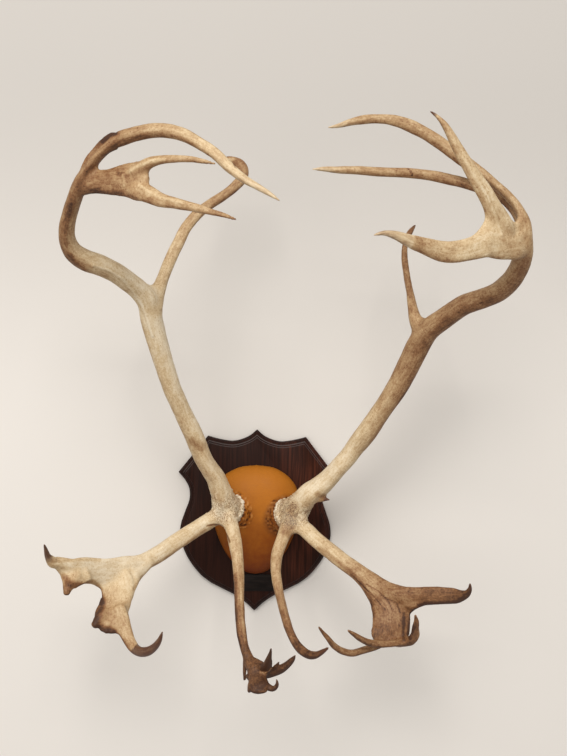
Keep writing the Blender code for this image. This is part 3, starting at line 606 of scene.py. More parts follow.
leftAntler = {
    "name": "left_antler",
    "replaces": ("left_beam", "left_top_tine", "left_crown_palm", "left_rear_tine",
                 "left_bez_tine", "left_brow_tine"),
    "seed": 3,
    "branches": (
        {"part": "main", "grow": 10, "tip": ("pale", 150, 140),
         "tones": (0.2, 0.16, 0.21, 0.16, 0.04, 0.08, 0.22, 0.4, 0.55, 0.58, 0.34, 0.28, 0.4),
         "stations": (
            (-46, 28, 62, 56, 56), (-48, 29.5, 64.5, 63, 63), (-51, 31.6, 68, 62, 62),
            (-54, 34.5, 72, 55, 55), (-56.5, 37.5, 76.5, 57, 56), (-60.5, 48, 84, 53, 53),
            (-64, 63, 92, 45, 47), (-68.5, 80, 100, 40, 43), (-74, 97, 108, 37, 41),
            (-85.5, 117, 119, 34, 39), (-97, 139, 131, 33.5, 38), (-111, 178, 150, 35, 37),
            (-131, 227, 174, 33, 36), (-150, 276, 200, 33, 36), (-163, 324, 223, 35, 36),
            (-173, 368, 243, 37, 36), (-180, 402, 258, 39, 36), (-187, 440, 276, 39, 36),
            (-200, 456, 287, 36, 36), (-214, 468, 300, 35, 37), (-237, 485, 325, 34, 38),
            (-258, 495, 346, 35, 38), (-280, 502, 366, 35, 38), (-296, 514, 384, 32, 36),
            (-302, 533, 401, 27, 34), (-299, 553, 417, 24.5, 32), (-291, 572, 432, 23, 31),
            (-280, 593, 452, 22.5, 30), (-268, 614, 469, 22, 28), (-252, 635, 484, 18, 26),
            (-234, 653, 496, 14.5, 24), (-219, 664, 503, 16, 22), (-201, 675, 510, 22.5, 20),
            (-181, 680, 518, 22.5, 19), (-137, 684, 530, 22, 18), (-104, 675, 542, 20, 17),
            (-77, 659, 553, 17, 16), (-57, 645, 562, 16, 15), (-32, 620, 574, 15, 14),
            (-14, 605, 582, 12.5, 12), (5, 593, 590, 10, 10), (24, 581, 596, 7, 7),
            (38, 571, 600, 2.5, 2.5))},
        {"part": "crown", "grow": 16, "tones": (0.68, 0.66, 0.64, 0.58, 0.5), "stations": (
            (-268, 610, 466, 30, 24), (-250, 613, 480, 33, 20), (-235, 613, 490, 36, 17),
            (-218, 612, 501, 40, 15), (-201, 612, 511, 47, 14), (-184, 612, 519, 53, 13),
            (-172, 611, 525, 55, 12), (-164, 612, 529, 42, 11), (-160, 612, 531, 24, 9))},
        {"part": "crown upper tine", "grow": 17, "tones": (0.46, 0.42, 0.42), "stations": (
            (-178, 622, 525, 21, 12), (-166, 629, 532, 20, 12), (-153, 635, 540, 17, 12),
            (-138, 637, 549, 14, 11), (-115, 637, 560, 11.5, 10), (-91, 635, 569, 9, 8),
            (-72, 631, 575, 6, 5.5), (-55, 627, 580, 2.5, 2.5))},
        {"part": "crown lower tine", "grow": 17, "tones": (0.44, 0.42, 0.4, 0.6), "stations": (
            (-178, 601, 525, 30, 12), (-166, 593, 534, 28, 13), (-153, 586, 545, 25, 13),
            (-138, 578, 555, 21, 13), (-113, 571, 571, 16, 12), (-83, 563, 586, 12.5, 10),
            (-61, 556, 596, 9.5, 8), (-41, 550, 603, 6.5, 5.5), (-24, 543, 610, 3, 3))},
        {"part": "flap", "grow": 3, "tones": (0.6, 0.75, 0.95), "stations": (
            (-264, 628, 478, 10, 12), (-254, 645, 484, 12, 10), (-242, 659, 489, 12, 8),
            (-231, 669, 496, 12, 7), (-220, 677, 502, 11, 7), (-213, 681, 506, 9, 6),
            (-203, 680, 511, 6, 6))},
        {"part": "flap", "grow": 3, "tones": (0.6, 0.75, 0.9), "stations": (
            (-243, 644, 490, 13, 11), (-234, 651, 495, 11, 9), (-223, 657, 500, 8.5, 7),
            (-214, 660, 503, 6, 5), (-206, 660.5, 506, 2.5, 2.5))},
        {"part": "rear", "grow": 30, "tones": (0.3, 0.3, 0.35, 0.45, 0.55, 0.6, 0.75),
         "stations": (
            (-178, 428, 271, 36, 24), (-170, 450, 264, 27, 21), (-161, 477, 252, 21.5, 18),
            (-147, 514, 238, 20.5, 17), (-135, 541, 228, 21, 16), (-121, 569, 218, 20.5, 16),
            (-102, 593, 210, 19, 15), (-79, 612, 203, 18, 15), (-54, 629, 196, 17.5, 15),
            (-33, 647, 187, 18, 14), (-20, 665, 177, 19, 13), (-20, 680, 168, 20, 13),
            (-27, 691, 160, 20, 12), (-35, 697, 154, 16, 10), (-44, 702, 148, 11, 7),
            (-52, 706, 143, 4, 3))},
        {"part": "bez", "grow": 26, "tip": ("dark", 52, 20),
         "tones": (0.2, 0.15, 0.14, 0.08, 0.04, 0.12, 0.4), "stations": (
            (-60, 30, 88, 32, 32), (-80, 22, 103, 31, 31), (-103, 11, 117, 30, 28),
            (-134, -5, 141, 31, 26), (-161, -19, 165, 31, 25), (-186, -32, 190, 31, 23),
            (-211, -41, 213, 34, 20), (-235, -46, 233, 47, 18), (-261, -45, 253, 48, 15),
            (-284, -40, 271, 47, 14), (-308, -34, 291, 48, 14), (-322, -28, 302, 41, 14),
            (-335, -18, 313, 27, 13), (-342, -14, 319, 21, 13), (-348, -12, 324, 20, 13),
            (-351, -7, 328, 17.5, 12), (-354, -1, 333, 12, 11), (-355, 10, 343, 8, 9),
            (-355, 20, 353, 5, 6), (-355, 27, 362, 2.5, 3))},
        {"part": "bez web", "grow": 12, "tones": (0.15, 0.1), "stations": (
            (-198, -36, 205, 30, 18), (-217, -52, 222, 32, 18), (-231, -71, 242, 30, 17),
            (-239, -91, 258, 30, 16), (-243, -107, 270, 28, 15))},
        {"part": "bez lobe", "grow": 34, "tones": (0.12, 0.36, 0.5, 0.5), "stations": (
            (-250, -48, 240, 43, 16), (-245, -68, 248, 53, 17), (-247, -83, 258, 55, 17),
            (-248, -96, 266, 52, 17), (-252, -106, 273, 54, 18), (-255, -117, 280, 60, 20),
            (-256, -126, 288, 56, 20), (-258, -134, 294, 48, 18), (-259, -139, 298, 30, 10))},
        {"part": "bez hook", "grow": 18, "tip": ("dark", 112, 5), "tones": (0.4, 0.6), "stations": (
            (-245, -107, 284, 33, 16), (-236, -126, 292, 31, 17), (-228, -142, 300, 25, 16),
            (-220, -155, 309, 21, 14), (-211, -164, 320, 19.5, 13), (-200, -166, 334, 18, 13),
            (-186, -161, 350, 16.5, 12), (-172, -149, 366, 13, 11), (-162, -133, 382, 9, 9),
            (-155, -114, 395, 3, 3))},
        {"part": "bez knob", "grow": 22, "tones": (0.3, 0.7), "stations": (
            (-318, -36, 302, 33, 13), (-321, -48, 312, 25, 13), (-324, -57, 321, 17, 14),
            (-325, -64, 326, 11.5, 10))},
        {"part": "bez knob", "grow": 14, "tones": (0.2, 0.5), "stations": (
            (-297, -39, 292, 28, 12), (-308, -47, 300, 24, 12), (-315, -55, 310, 14, 11))},
        {"part": "bez knob", "grow": 10, "tones": (0.5, 0.6), "stations": (
            (-262, -116, 284, 30, 17), (-275, -123, 294, 23, 19), (-281, -128, 299, 14, 12))},
        {"part": "bez knob", "grow": 10, "tones": (0.5, 0.6), "stations": (
            (-259, -124, 286, 28, 16), (-262, -134, 296, 17, 17), (-261, -139, 300, 10, 10))},
        {"part": "brow", "grow": 26, "tones": (0.2, 0.3, 0.5, 0.63, 0.78, 0.9), "stations": (
            (-56, 34, 88, 28, 28), (-50, 19, 101, 29, 29), (-46, 3, 112, 27, 27),
            (-40, -22, 126, 25, 24), (-35, -51, 146, 21.5, 22), (-32, -83, 170, 20, 21),
            (-31, -111, 198, 18, 20), (-29, -141, 228, 18, 19), (-25, -167, 256, 17, 18),
            (-19, -186, 276, 16.5, 18), (-12, -199, 288, 20, 16), (-4, -206, 303, 33, 14),
            (1, -211, 312, 42, 13), (2, -216, 320, 36, 12), (4, -219, 324, 22, 9))},
        {"part": "brow finger", "grow": 12, "tones": (0.9, 0.94), "stations": (
            (5, -210, 312, 20.5, 12), (15, -201, 326, 20.5, 12), (20, -188, 338, 14.5, 10),
            (22, -174, 350, 9, 8), (24, -164, 358, 6, 6), (25, -151, 368, 2.5, 2.5))},
        {"part": "brow finger", "grow": 12, "tones": (0.9, 0.94), "stations": (
            (5, -219, 306, 17, 12), (22, -214, 314, 16, 13), (38, -206, 322, 16, 12),
            (51, -195, 331, 13, 10), (61, -183, 339, 9.5, 8), (67, -172, 346, 3.5, 3))},
        {"part": "brow finger", "grow": 3, "tones": (0.92, 0.96), "stations": (
            (17, -216, 314, 15, 10), (27, -207, 320, 11, 8), (34, -197, 326, 6.5, 6),
            (40, -188, 330, 2.5, 2.5))},
        {"part": "brow finger", "grow": 12, "tones": (0.9, 0.94), "stations": (
            (10, -222, 334, 15, 12), (19, -227, 343, 13, 11), (29, -228, 350, 9.5, 10),
            (35, -219, 357, 7, 8), (34, -206, 363, 2.5, 2.5))},
        {"part": "brow finger", "grow": 12, "tones": (0.9, 0.94), "stations": (
            (-1, -204, 312, 28, 14), (1, -216, 324, 32, 14), (3, -222, 336, 34, 15),
            (4, -227, 347, 37, 17), (4, -230, 353, 29, 12))},
        {"part": "brow finger", "grow": 8, "tones": (0.86, 0.9), "stations": (
            (-4, -220, 330, 15, 14), (-10, -227, 338, 11, 12), (-12, -233, 344, 7, 9))},
        {"part": "brow finger", "grow": 12, "tones": (0.9, 0.94), "stations": (
            (-18, -190, 284, 11, 12), (-20, -208, 284, 7.5, 12), (-21, -223, 282, 6.5, 10),
            (-21, -236, 280, 5.5, 6))},
    ),
    "marks": (
        {"mark": "beam band", "wide": 8, "tone": 0.25, "points": (
            (-117, 176, 150), (-100, 167, 150))},
        # darker outer side of the C: brown stain, with painted shade where it turns away from the
        # light
        {"mark": "C outer dark", "wide": 10, "tone": 0.17, "points": (
            (-288, 590, 452), (-303, 558, 430), (-310, 532, 405),
            (-307, 510, 388), (-295, 492, 370), (-277, 476, 352))},
        {"mark": "C keel", "wide": 3, "tone": 0.13, "rise": 1.2, "points": (
            (-284, 582, 445), (-294, 559, 425), (-301, 535, 405),
            (-300, 514, 390), (-292, 498, 372), (-278, 486, 355))},
        # darker lower face of the beam: stain, and painted shade from the light above
        {"mark": "under face", "wide": 6, "tone": 0.18, "points": (
            (-263, 469, 335), (-241, 461, 315), (-224, 448, 300), (-212, 429, 290),
            (-202, 403, 268), (-194, 371, 248), (-185, 331, 225))},
        {"mark": "light ridge", "wide": 2.4, "tone": -0.18, "rise": 1.6, "points": (
            (-265, 493, 350), (-241, 485, 325), (-222, 472, 305), (-209, 455, 295),
            (-197, 434, 285), (-189, 410, 265), (-179, 375, 245))},
        {"mark": "crown ridge", "wide": 3, "tone": -0.18, "rise": 0.6, "points": (
            (-196, 619, 512), (-174, 630, 527), (-153, 636, 540), (-132, 637, 552))},
        {"mark": "crown ridge foot", "wide": 2, "tone": -0.15, "rise": 0.6, "points": (
            (-196, 619, 512), (-194, 604, 512))},
        {"mark": "crown lower ridge", "wide": 2.4, "tone": -0.18, "rise": 0.8, "points": (
            (-170, 602, 527), (-155, 591, 542), (-135, 580, 556), (-104, 571, 575))},
        {"mark": "crown dark spots", "wide": 4, "tone": 0.2, "points": (
            (-204, 622, 508), (-189, 618, 515))},
        # darker lower edge of the crown: painted shade
        {"mark": "crown lower edge", "wide": 4, "tone": 0.12, "points": (
            (-249, 600, 480), (-225, 596, 495), (-201, 593, 510), (-173, 586, 527),
            (-151, 576, 545))},
        {"mark": "crown root", "wide": 16, "tone": 0.05, "points": (
            (-255, 621, 478), (-238, 613, 488))},
        # darker under side of the top tine: painted shade
        {"mark": "top tine under", "wide": 4, "tone": 0.14, "points": (
            (-190, 668, 515), (-177, 671, 520), (-154, 675, 528),
            (-131, 675, 533), (-112, 672, 540), (-90, 660, 550), (-68, 642, 560))},
        {"mark": "flap face", "wide": 4, "tone": 0.26, "points": (
            (-228, 673, 499), (-216, 681, 505), (-206, 682, 510))},
        {"mark": "bez top edge", "wide": 4, "tone": 0.2, "points": (
            (-347, -7, 321), (-314, -10, 300), (-276, -19, 268))},
        # brown under edge of the bez: stain, and painted shade on its underside
        {"mark": "bez under edge", "wide": 5, "tone": 0.36, "points": (
            (-333, -38, 306), (-322, -49, 306), (-307, -55, 295), (-286, -59, 272),
            (-277, -76, 258), (-275, -94, 262))},
        # brown, with painted shade on the lobe's thick rim that faces down and away from the light
        {"mark": "lobe dark face", "wide": 8, "tone": 0.42, "points": (
            (-273, -94, 270), (-278, -108, 278), (-281, -121, 286), (-278, -131, 294),
            (-268, -139, 300), (-253, -140, 302))},
        {"mark": "hook edge", "wide": 4, "tone": 0.3, "points": (
            (-247, -141, 298), (-232, -155, 305), (-216, -170, 315))},
        {"mark": "lobe light", "wide": 4, "tone": -0.16, "rise": 0.8, "points": (
            (-261, -125, 290), (-259, -126, 291))},
        # darker under side of the bez stem: stain, and painted shade from the light above
        {"mark": "bez stem under", "wide": 4, "tone": 0.22, "points": (
            (-97, 3, 115), (-129, -17, 136), (-157, -31, 160), (-183, -45, 185),
            (-203, -60, 205), (-218, -77, 225))},
        {"mark": "arch line", "wide": 1.8, "tone": 0.5, "rise": -0.5, "points": (
            (-92, 11, 112), (-80, 12, 106), (-70, 8, 102), (-61, 0, 104), (-54, -9, 112),
            (-49, -19, 122))},
        {"mark": "brow side", "wide": 4, "tone": 0.24, "points": (
            (-39, -75, 165), (-38, -113, 200), (-36, -150, 235), (-30, -177, 268))},
        # painted highlight down the lit middle of the brow stem
        {"mark": "brow stripe", "wide": 2, "tone": -0.16, "rise": 0.3, "points": (
            (-28, -84, 160), (-27, -113, 190), (-25, -143, 220), (-20, -168, 248))},
        {"mark": "brow palm rim", "wide": 1.5, "tone": -0.42, "rise": 0.8, "points": (
            (7, -207, 350), (15, -207, 348), (21, -204, 344), (25, -197, 340))},
        {"mark": "loop light", "wide": 5, "tone": -0.3, "points": (
            (-48, 699, 155), (-38, 701, 158))},
        {"mark": "top crack", "wide": 1, "tone": 0.5, "rise": -0.5, "points": (
            (-28, 628, 579), (-27, 624, 579), (-25, 621, 579))},
    ),
}

rightAntler = {
    "name": "right_antler",
    "replaces": ("right_beam", "right_top_tine", "right_inner_tine", "right_crown_palm",
                 "right_rear_tine", "right_bez_tine", "right_brow_tine"),
    "seed": 8,
    "branches": (
        {"part": "main", "grow": 10, "tip": ("pale", 60, 60),
         "tones": (0.25, 0.08, 0.12, 0.36, 0.55, 0.6, 0.62, 0.56, 0.46, 0.48, 0.47, 0.44, 0.5),
         "stations": (
            (60, 18, 62, 58, 58), (62, 19.2, 64.5, 65, 65), (65, 21, 68, 64, 64),
            (68.5, 23.5, 72, 57, 57), (72.5, 27.5, 78, 58, 56), (82, 38.5, 86, 53, 53),
            (93, 54, 96, 46, 48), (106, 69, 108, 42, 44), (119, 79, 114, 40, 43),
            (131, 90, 121, 38, 42), (142, 102, 127, 36, 41), (161, 127, 141, 34, 40),
            (178, 149, 150, 34, 39), (189, 166, 158, 35, 38), (206, 192, 175, 38, 37),
            (235, 240, 197, 35, 36), (259, 280, 215, 38, 36), (280, 326, 235, 41, 36),
            (294, 358, 251, 42, 36), (308, 382, 267, 40, 36), (331, 402, 289, 37, 36),
            (361, 426, 325, 35, 36), (388, 438, 354, 34, 36), (406, 448, 377, 34, 36),
            (420, 464, 400, 33, 35), (427, 482, 422, 31, 34), (429, 503, 445, 30, 32),
            (426, 527, 464, 27, 29), (424, 552, 472, 20, 24), (415, 574, 470, 15, 19),
            (402, 592, 465, 14, 17), (384, 610, 460, 14, 17), (366, 626, 457, 15, 17),
            (345, 642, 453, 18, 17), (319, 662, 450, 20, 16), (295, 680, 448, 20.5, 16),
            (270, 696, 447, 20, 15), (245, 708, 447, 19.5, 15), (222, 715, 448, 17.5, 14),
            (197, 717, 450, 15, 13), (173, 715, 453, 13.5, 12), (152, 710, 457, 11, 10),
            (133, 704, 461, 7, 7), (115, 700, 465, 2.5, 2.5))},
        {"part": "crown", "grow": 15, "tip": ("pale", 70, 4),
         "tones": (0.34, 0.28, 0.22, 0.36, 0.5, 0.6), "stations": (
            (424, 522, 462, 48, 24), (410, 521, 475, 54, 20), (396, 520, 485, 53, 17),
            (372, 518, 501, 50, 15), (355, 516, 513, 44, 14), (336, 509, 526, 36, 13),
            (315, 504, 538, 33, 13), (296, 501, 548, 33, 13), (277, 502, 557, 31, 12),
            (259, 506, 566, 27, 12), (240, 511, 575, 22, 11), (222, 517, 583, 17.5, 10),
            (204, 523, 590, 12.5, 9), (187, 525, 596, 7, 6), (171, 521, 600, 2.5, 2.5))},
        {"part": "crown front tine", "grow": 34, "tip": ("dark", 14, 10),
         "tones": (0.22, 0.24, 0.3, 0.42), "stations": (
            (391, 524, 485, 36, 15), (382, 540, 494, 42, 15), (373, 557, 503, 36, 14),
            (364, 573, 512, 28, 13), (352, 591, 520, 25, 13), (338, 609, 528, 23, 12),
            (322, 631, 535, 19, 12), (309, 650, 541, 17.5, 11), (295, 673, 545, 13.5, 11),
            (284, 690, 547, 10, 9), (273, 702, 547, 6, 6), (263, 710, 545, 2.5, 2.5))},
        {"part": "inner tine", "grow": 5, "tip": ("pale", 60, 60),
         "tones": (0.72, 0.6, 0.53, 0.44, 0.36), "stations": (
            (422, 545, 468, 15, 15), (413, 571, 456, 14, 14), (403, 586, 446, 14, 14),
            (391, 598, 436, 15, 14), (375, 607, 429, 16, 14), (356, 614, 425, 16.5, 14),
            (337, 621, 422, 16.5, 14), (317, 626, 420, 17, 14), (291, 632, 419, 17, 14),
            (252, 637, 418, 15.5, 14), (228, 638, 418, 15.5, 13), (198, 639, 419, 15, 12),
            (166, 641, 421, 14, 11), (135, 641, 424, 11.5, 10), (113, 642, 427, 8, 7),
            (93, 641, 430, 2.5, 2.5))},
        {"part": "rear", "grow": 30, "tones": (0.5, 0.6, 0.7, 0.8), "stations": (
            (300, 376, 262, 34, 24), (289, 398, 252, 25, 20), (284, 424, 237, 17, 16),
            (281, 456, 217, 13, 13), (278, 489, 197, 12, 12), (277, 516, 182, 11, 11),
            (280, 539, 168, 10.5, 10.5), (287, 558, 155, 11, 11), (296, 571, 145, 8.5, 8.5),
            (305, 582, 135, 2.5, 2.5))},
        {"part": "spur", "grow": 12, "tip": ("dark", 12, 6), "tones": (0.4, 0.6), "stations": (
            (107, 60, 106, 21, 18), (120, 60, 113, 15.5, 15), (131, 60, 120, 8.5, 10),
            (142, 59, 127, 2.5, 2.5))},
        {"part": "bez", "grow": 26, "tones": (0.2, 0.24, 0.33, 0.54, 0.68, 0.76), "stations": (
            (74, 22, 88, 32, 32), (90, 4, 107, 31, 31), (112, -14, 128, 30, 28),
            (135, -30, 148, 30, 26), (163, -49, 173, 30, 25), (193, -68, 198, 33, 22),
            (217, -87, 221, 45, 20), (234, -104, 238, 60, 18), (242, -122, 250, 66, 17),
            (243, -141, 260, 68, 16), (240, -157, 268, 68, 16), (236, -166, 273, 66, 14),
            (234, -172, 277, 56, 10))},
        {"part": "bez outer tine", "grow": 34, "tip": ("dark", 24, 14),
         "tones": (0.62, 0.76, 0.84, 0.9), "stations": (
            (238, -98, 240, 34, 17), (260, -97, 252, 37, 17), (285, -94, 264, 34, 16),
            (310, -89, 278, 33, 15), (341, -85, 294, 30, 14), (352, -84, 300, 28, 14),
            (361, -81, 308, 20, 13), (368, -76, 316, 13, 11), (371, -68, 324, 8.5, 9),
            (369, -53, 337, 3, 3))},
        {"part": "bez web", "grow": 16, "tones": (0.65, 0.7), "stations": (
            (267, -103, 254, 25, 15), (280, -109, 262, 18, 13), (297, -102, 270, 16, 13))},
        {"part": "bez tine", "grow": 12, "tones": (0.68, 0.66, 0.75), "stations": (
            (261, -172, 272, 18, 14), (272, -169, 284, 16, 14), (280, -155, 296, 15, 13),
            (280, -139, 306, 12, 11), (280, -125, 314, 9.5, 9), (277, -112, 320, 3, 2.5))},
        {"part": "bez tine", "grow": 12, "tones": (0.68, 0.66, 0.75), "stations": (
            (264, -172, 277, 14, 13), (239, -171, 290, 12.5, 12), (214, -168, 300, 13, 11),
            (196, -162, 310, 13, 11), (181, -152, 320, 11, 10), (168, -141, 330, 7.5, 8),
            (157, -131, 340, 2.5, 2.5))},
        {"part": "bez tine", "grow": 12, "tones": (0.68, 0.66, 0.75), "stations": (
            (227, -174, 270, 18, 14), (206, -181, 280, 13, 13), (188, -183, 289, 12.5, 12),
            (169, -184, 299, 12, 12), (151, -177, 309, 11.5, 12), (136, -165, 319, 11, 11),
            (124, -148, 330, 9, 9), (113, -133, 338, 6, 6), (105, -120, 346, 2.5, 2.5))},
        {"part": "brow", "grow": 26, "tip": ("dark", 30, 20),
         "tones": (0.25, 0.35, 0.5, 0.68, 0.88, 0.9), "stations": (
            (70, 25, 88, 28, 28), (62, 8, 102, 28, 28), (56, -6, 110, 26, 26),
            (49, -22, 119, 24, 24), (41, -42, 134, 22, 23), (38, -66, 156, 19.5, 21),
            (41, -95, 182, 18, 19), (48, -121, 206, 16, 18), (55, -144, 229, 15.5, 17),
            (62, -162, 249, 15, 16), (72, -177, 270, 16, 15), (83, -184, 288, 16, 14),
            (96, -185, 306, 15, 12), (107, -180, 318, 11, 10), (115, -173, 325, 8.5, 8),
            (124, -164, 333, 4, 4))},
    ),
    "marks": (
        {"mark": "hub patch", "wide": 13, "tone": 0.3, "points": (
            (67, 38, 95), (67, 11, 95), (60, -4, 108))},
        # darker under side of the beam: stain, and painted shade from the light above
        {"mark": "beam under", "wide": 5, "tone": 0.16, "points": (
            (199, 152, 140), (248, 225, 170), (283, 282, 185), (312, 324, 200), (346, 369, 225),
            (383, 404, 260))},
        {"mark": "base rough", "wide": 6, "tone": 0.26, "points": (
            (116, 73, 119), (138, 61, 131))},
        # darker under side of the bez: stain, and painted shade from the light above
        {"mark": "bez under", "wide": 4, "tone": 0.22, "points": (
            (119, -29, 130), (148, -45, 155), (176, -64, 180), (196, -83, 205),
            (208, -106, 225), (210, -130, 250))},
        {"mark": "palm stripe", "wide": 3, "tone": 0.22, "points": (
            (266, -125, 258), (264, -146, 268), (262, -167, 276))},
        {"mark": "palm edge", "wide": 2.5, "tone": 0.3, "rise": 0.6, "points": (
            (287, -115, 262), (278, -126, 262), (274, -144, 268), (272, -161, 278))},
        {"mark": "vein", "wide": 1.2, "tone": 0.3, "rise": -0.3, "points": (
            (175, -68, 190), (195, -84, 210), (215, -101, 230), (232, -119, 245))},
        {"mark": "vein", "wide": 1.2, "tone": 0.28, "rise": -0.3, "points": (
            (202, -81, 215), (222, -90, 230), (239, -106, 242), (247, -122, 250))},
        {"mark": "vein", "wide": 1.2, "tone": 0.25, "rise": -0.3, "points": (
            (232, -99, 240), (253, -107, 250), (259, -124, 255))},
        # darker under side of the outer tine: stain, and painted shade from the light above
        {"mark": "outer tine under", "wide": 3.5, "tone": 0.2, "points": (
            (290, -107, 265), (313, -103, 278), (336, -99, 292), (355, -94, 303))},
        {"mark": "crack", "wide": 1, "tone": 0.5, "rise": -0.6, "points": (
            (248, 643, 421), (253, 638, 421), (255, 632, 421))},
        {"mark": "crown speckled", "wide": 18, "tone": 0.09, "points": (
            (390, 536, 490), (410, 515, 478))},
        # darker lower edge of the crown: painted shade
        {"mark": "crown edge", "wide": 4, "tone": 0.13, "points": (
            (377, 495, 500), (344, 491, 520), (313, 487, 538), (285, 486, 550))},
        {"mark": "front ridge", "wide": 2.2, "tone": -0.14, "rise": 0.8, "points": (
            (382, 530, 490), (369, 560, 505), (353, 587, 520), (336, 611, 528), (312, 642, 540))},
    ),
}

antlerSkin = {
    # millimetres
    "firstVoxel": 2.6, "voxel": 1.95,
    "burrRows": ((2.5, 36), (7.5, 33)),  # distance up the beam, beads round it
    "beadSize": 3.3, "beadHeight": 2.6, "pearlSizes": (1.8, 3.6), "pearlHeights": (0.3, 1.2),
    "hubPearls": 320, "hubFades": (45, 85), "hubSpreads": (8, 30), "hubHollow": 0.5,
    "ridge": 0.45, "lump": 0.9, "facet": 0.9, "forkSoft": (1, 9),
    "toneBlend": 4, "tipWander": 4, "tipShare": 6, "markDeep": 50,
    # shares
    "underShadeAndStain": 0.17, "markEdge": (0.3, 1.5), "markWander": 0.25, "tipCalm": 0.8,
}


def projected(mesh, lines, blends, rounds, relax=0.3):
    # draws the skin onto the grown-together surface, keeping its faces even
    edges = edgesOf(mesh)
    for _ in range(rounds):
        points = readPoints(mesh)
        normals = readPoints(mesh, "normal")
        points = points - normals * distanceOutside(lines, blends, points)[:, None]
        points += relax * (averaged(points, edges) - points)
        writePoints(mesh, points)
    return mesh


def addBumps(points, relief, centres, sizes, heights):
    # rounded pearls, each a small smooth hill on the skin
    for centre, size, height in zip(centres, sizes, heights):
        near = np.where(np.abs(points - centre).max(1) < size * 2)[0]
        square = ((points[near] - centre) ** 2).sum(1)
        relief[near] += height * np.exp(-square / (0.55 * size) ** 2)


def markShares(mark, points, normals):
    # how strongly a painted or raised mark reaches each point, seen from the front
    spots = np.array([(*turnUpright(x, z), -out) for x, z, out in mark["points"]]) * mm
    flat = points[:, (0, 2)]
    apart = np.full(len(points), 1.0)
    depth = np.zeros(len(points))
    for start, end in zip(spots, spots[1:]):
        way = end[:2] - start[:2]
        share = np.clip((flat - start[:2]) @ way / (way @ way), 0, 1)
        here = np.linalg.norm(flat - start[:2] - share[:, None] * way, axis=1)
        closer = here < apart
        apart[closer] = here[closer]
        depth[closer] = (start[2] + share * (end[2] - start[2]))[closer]
    wide = mark["wide"] * mm
    apart = apart + antlerSkin["markWander"] * wide * latticeNoise(points * 90, 71)
    inner, outer = antlerSkin["markEdge"]
    share = 1 - smoothStep(inner * wide, outer * wide, apart)
    share[np.abs(points[:, 1] - depth) > antlerSkin["markDeep"] * mm] = 0
    return share * (1 - smoothStep(0.2, 0.6, normals[:, 1]))


def branchValues(design, lines, points):
    # which branch each point is on, how far along and round it, and its colours
    skin = antlerSkin
    count = len(points)
    nearest = np.full(count, 1.0)
    second = np.full(count, 1.0)
    grain = np.zeros((count, 3))
    facets = np.zeros(count)
    inside = []
    for index, line in enumerate(lines):
        run, a, b, distance, _ = intoBranch(line, points)
        inside.append((run, distance))
        closer = distance < nearest
        second = np.where(closer, nearest, np.minimum(second, distance))
        nearest = np.where(closer, distance, nearest)
        grain[closer] = np.stack((run + 0.37 * index, a, b), 1)[closer]
        halves = np.stack([np.interp(run, line["run"], line["half"][:, k]) for k in (0, 1)])
        phase = 1.5 * latticeNoise(np.stack((run * 9, a * 0, b * 0), 1), 90 + index)
        wave = np.cos(3 * np.arctan2(b / halves[1], a / halves[0]) + phase * 2)
        roundness = (halves.min(0) / halves.max(0)) ** 2
        facets[closer] = (wave * roundness * halves.mean(0) / 0.017)[closer]
    forkFrom, forkTo = skin["forkSoft"]
    fork = 1 - smoothStep(forkFrom * mm, forkTo * mm, second - nearest)
    total = np.zeros(count)
    tone = np.zeros(count)
    tips = {"dark": np.zeros(count), "pale": np.zeros(count)}
    wobble = skin["tipWander"] * mm * latticeNoise(points * 110, 75)
    for branch, line, (run, distance) in zip(design["branches"], lines, inside):
        length = line["run"][-1]
        weight = np.exp(-(distance - nearest) / (skin["toneBlend"] * mm))
        places = np.linspace(0, length, len(branch["tones"]))
        tone += weight * np.interp(run, places, branch["tones"])
        total += weight
        if "tip" in branch:
            kind, reach, soft = branch["tip"]
            toTip = length - run + wobble
            on = 1 - smoothStep(0.0, skin["tipShare"] * mm, distance - nearest)
            on *= 1 - smoothStep((reach - soft) * mm, reach * mm, toTip)
            tips[kind] = np.maximum(tips[kind], on)
    return grain, fork, facets, tone / total, tips


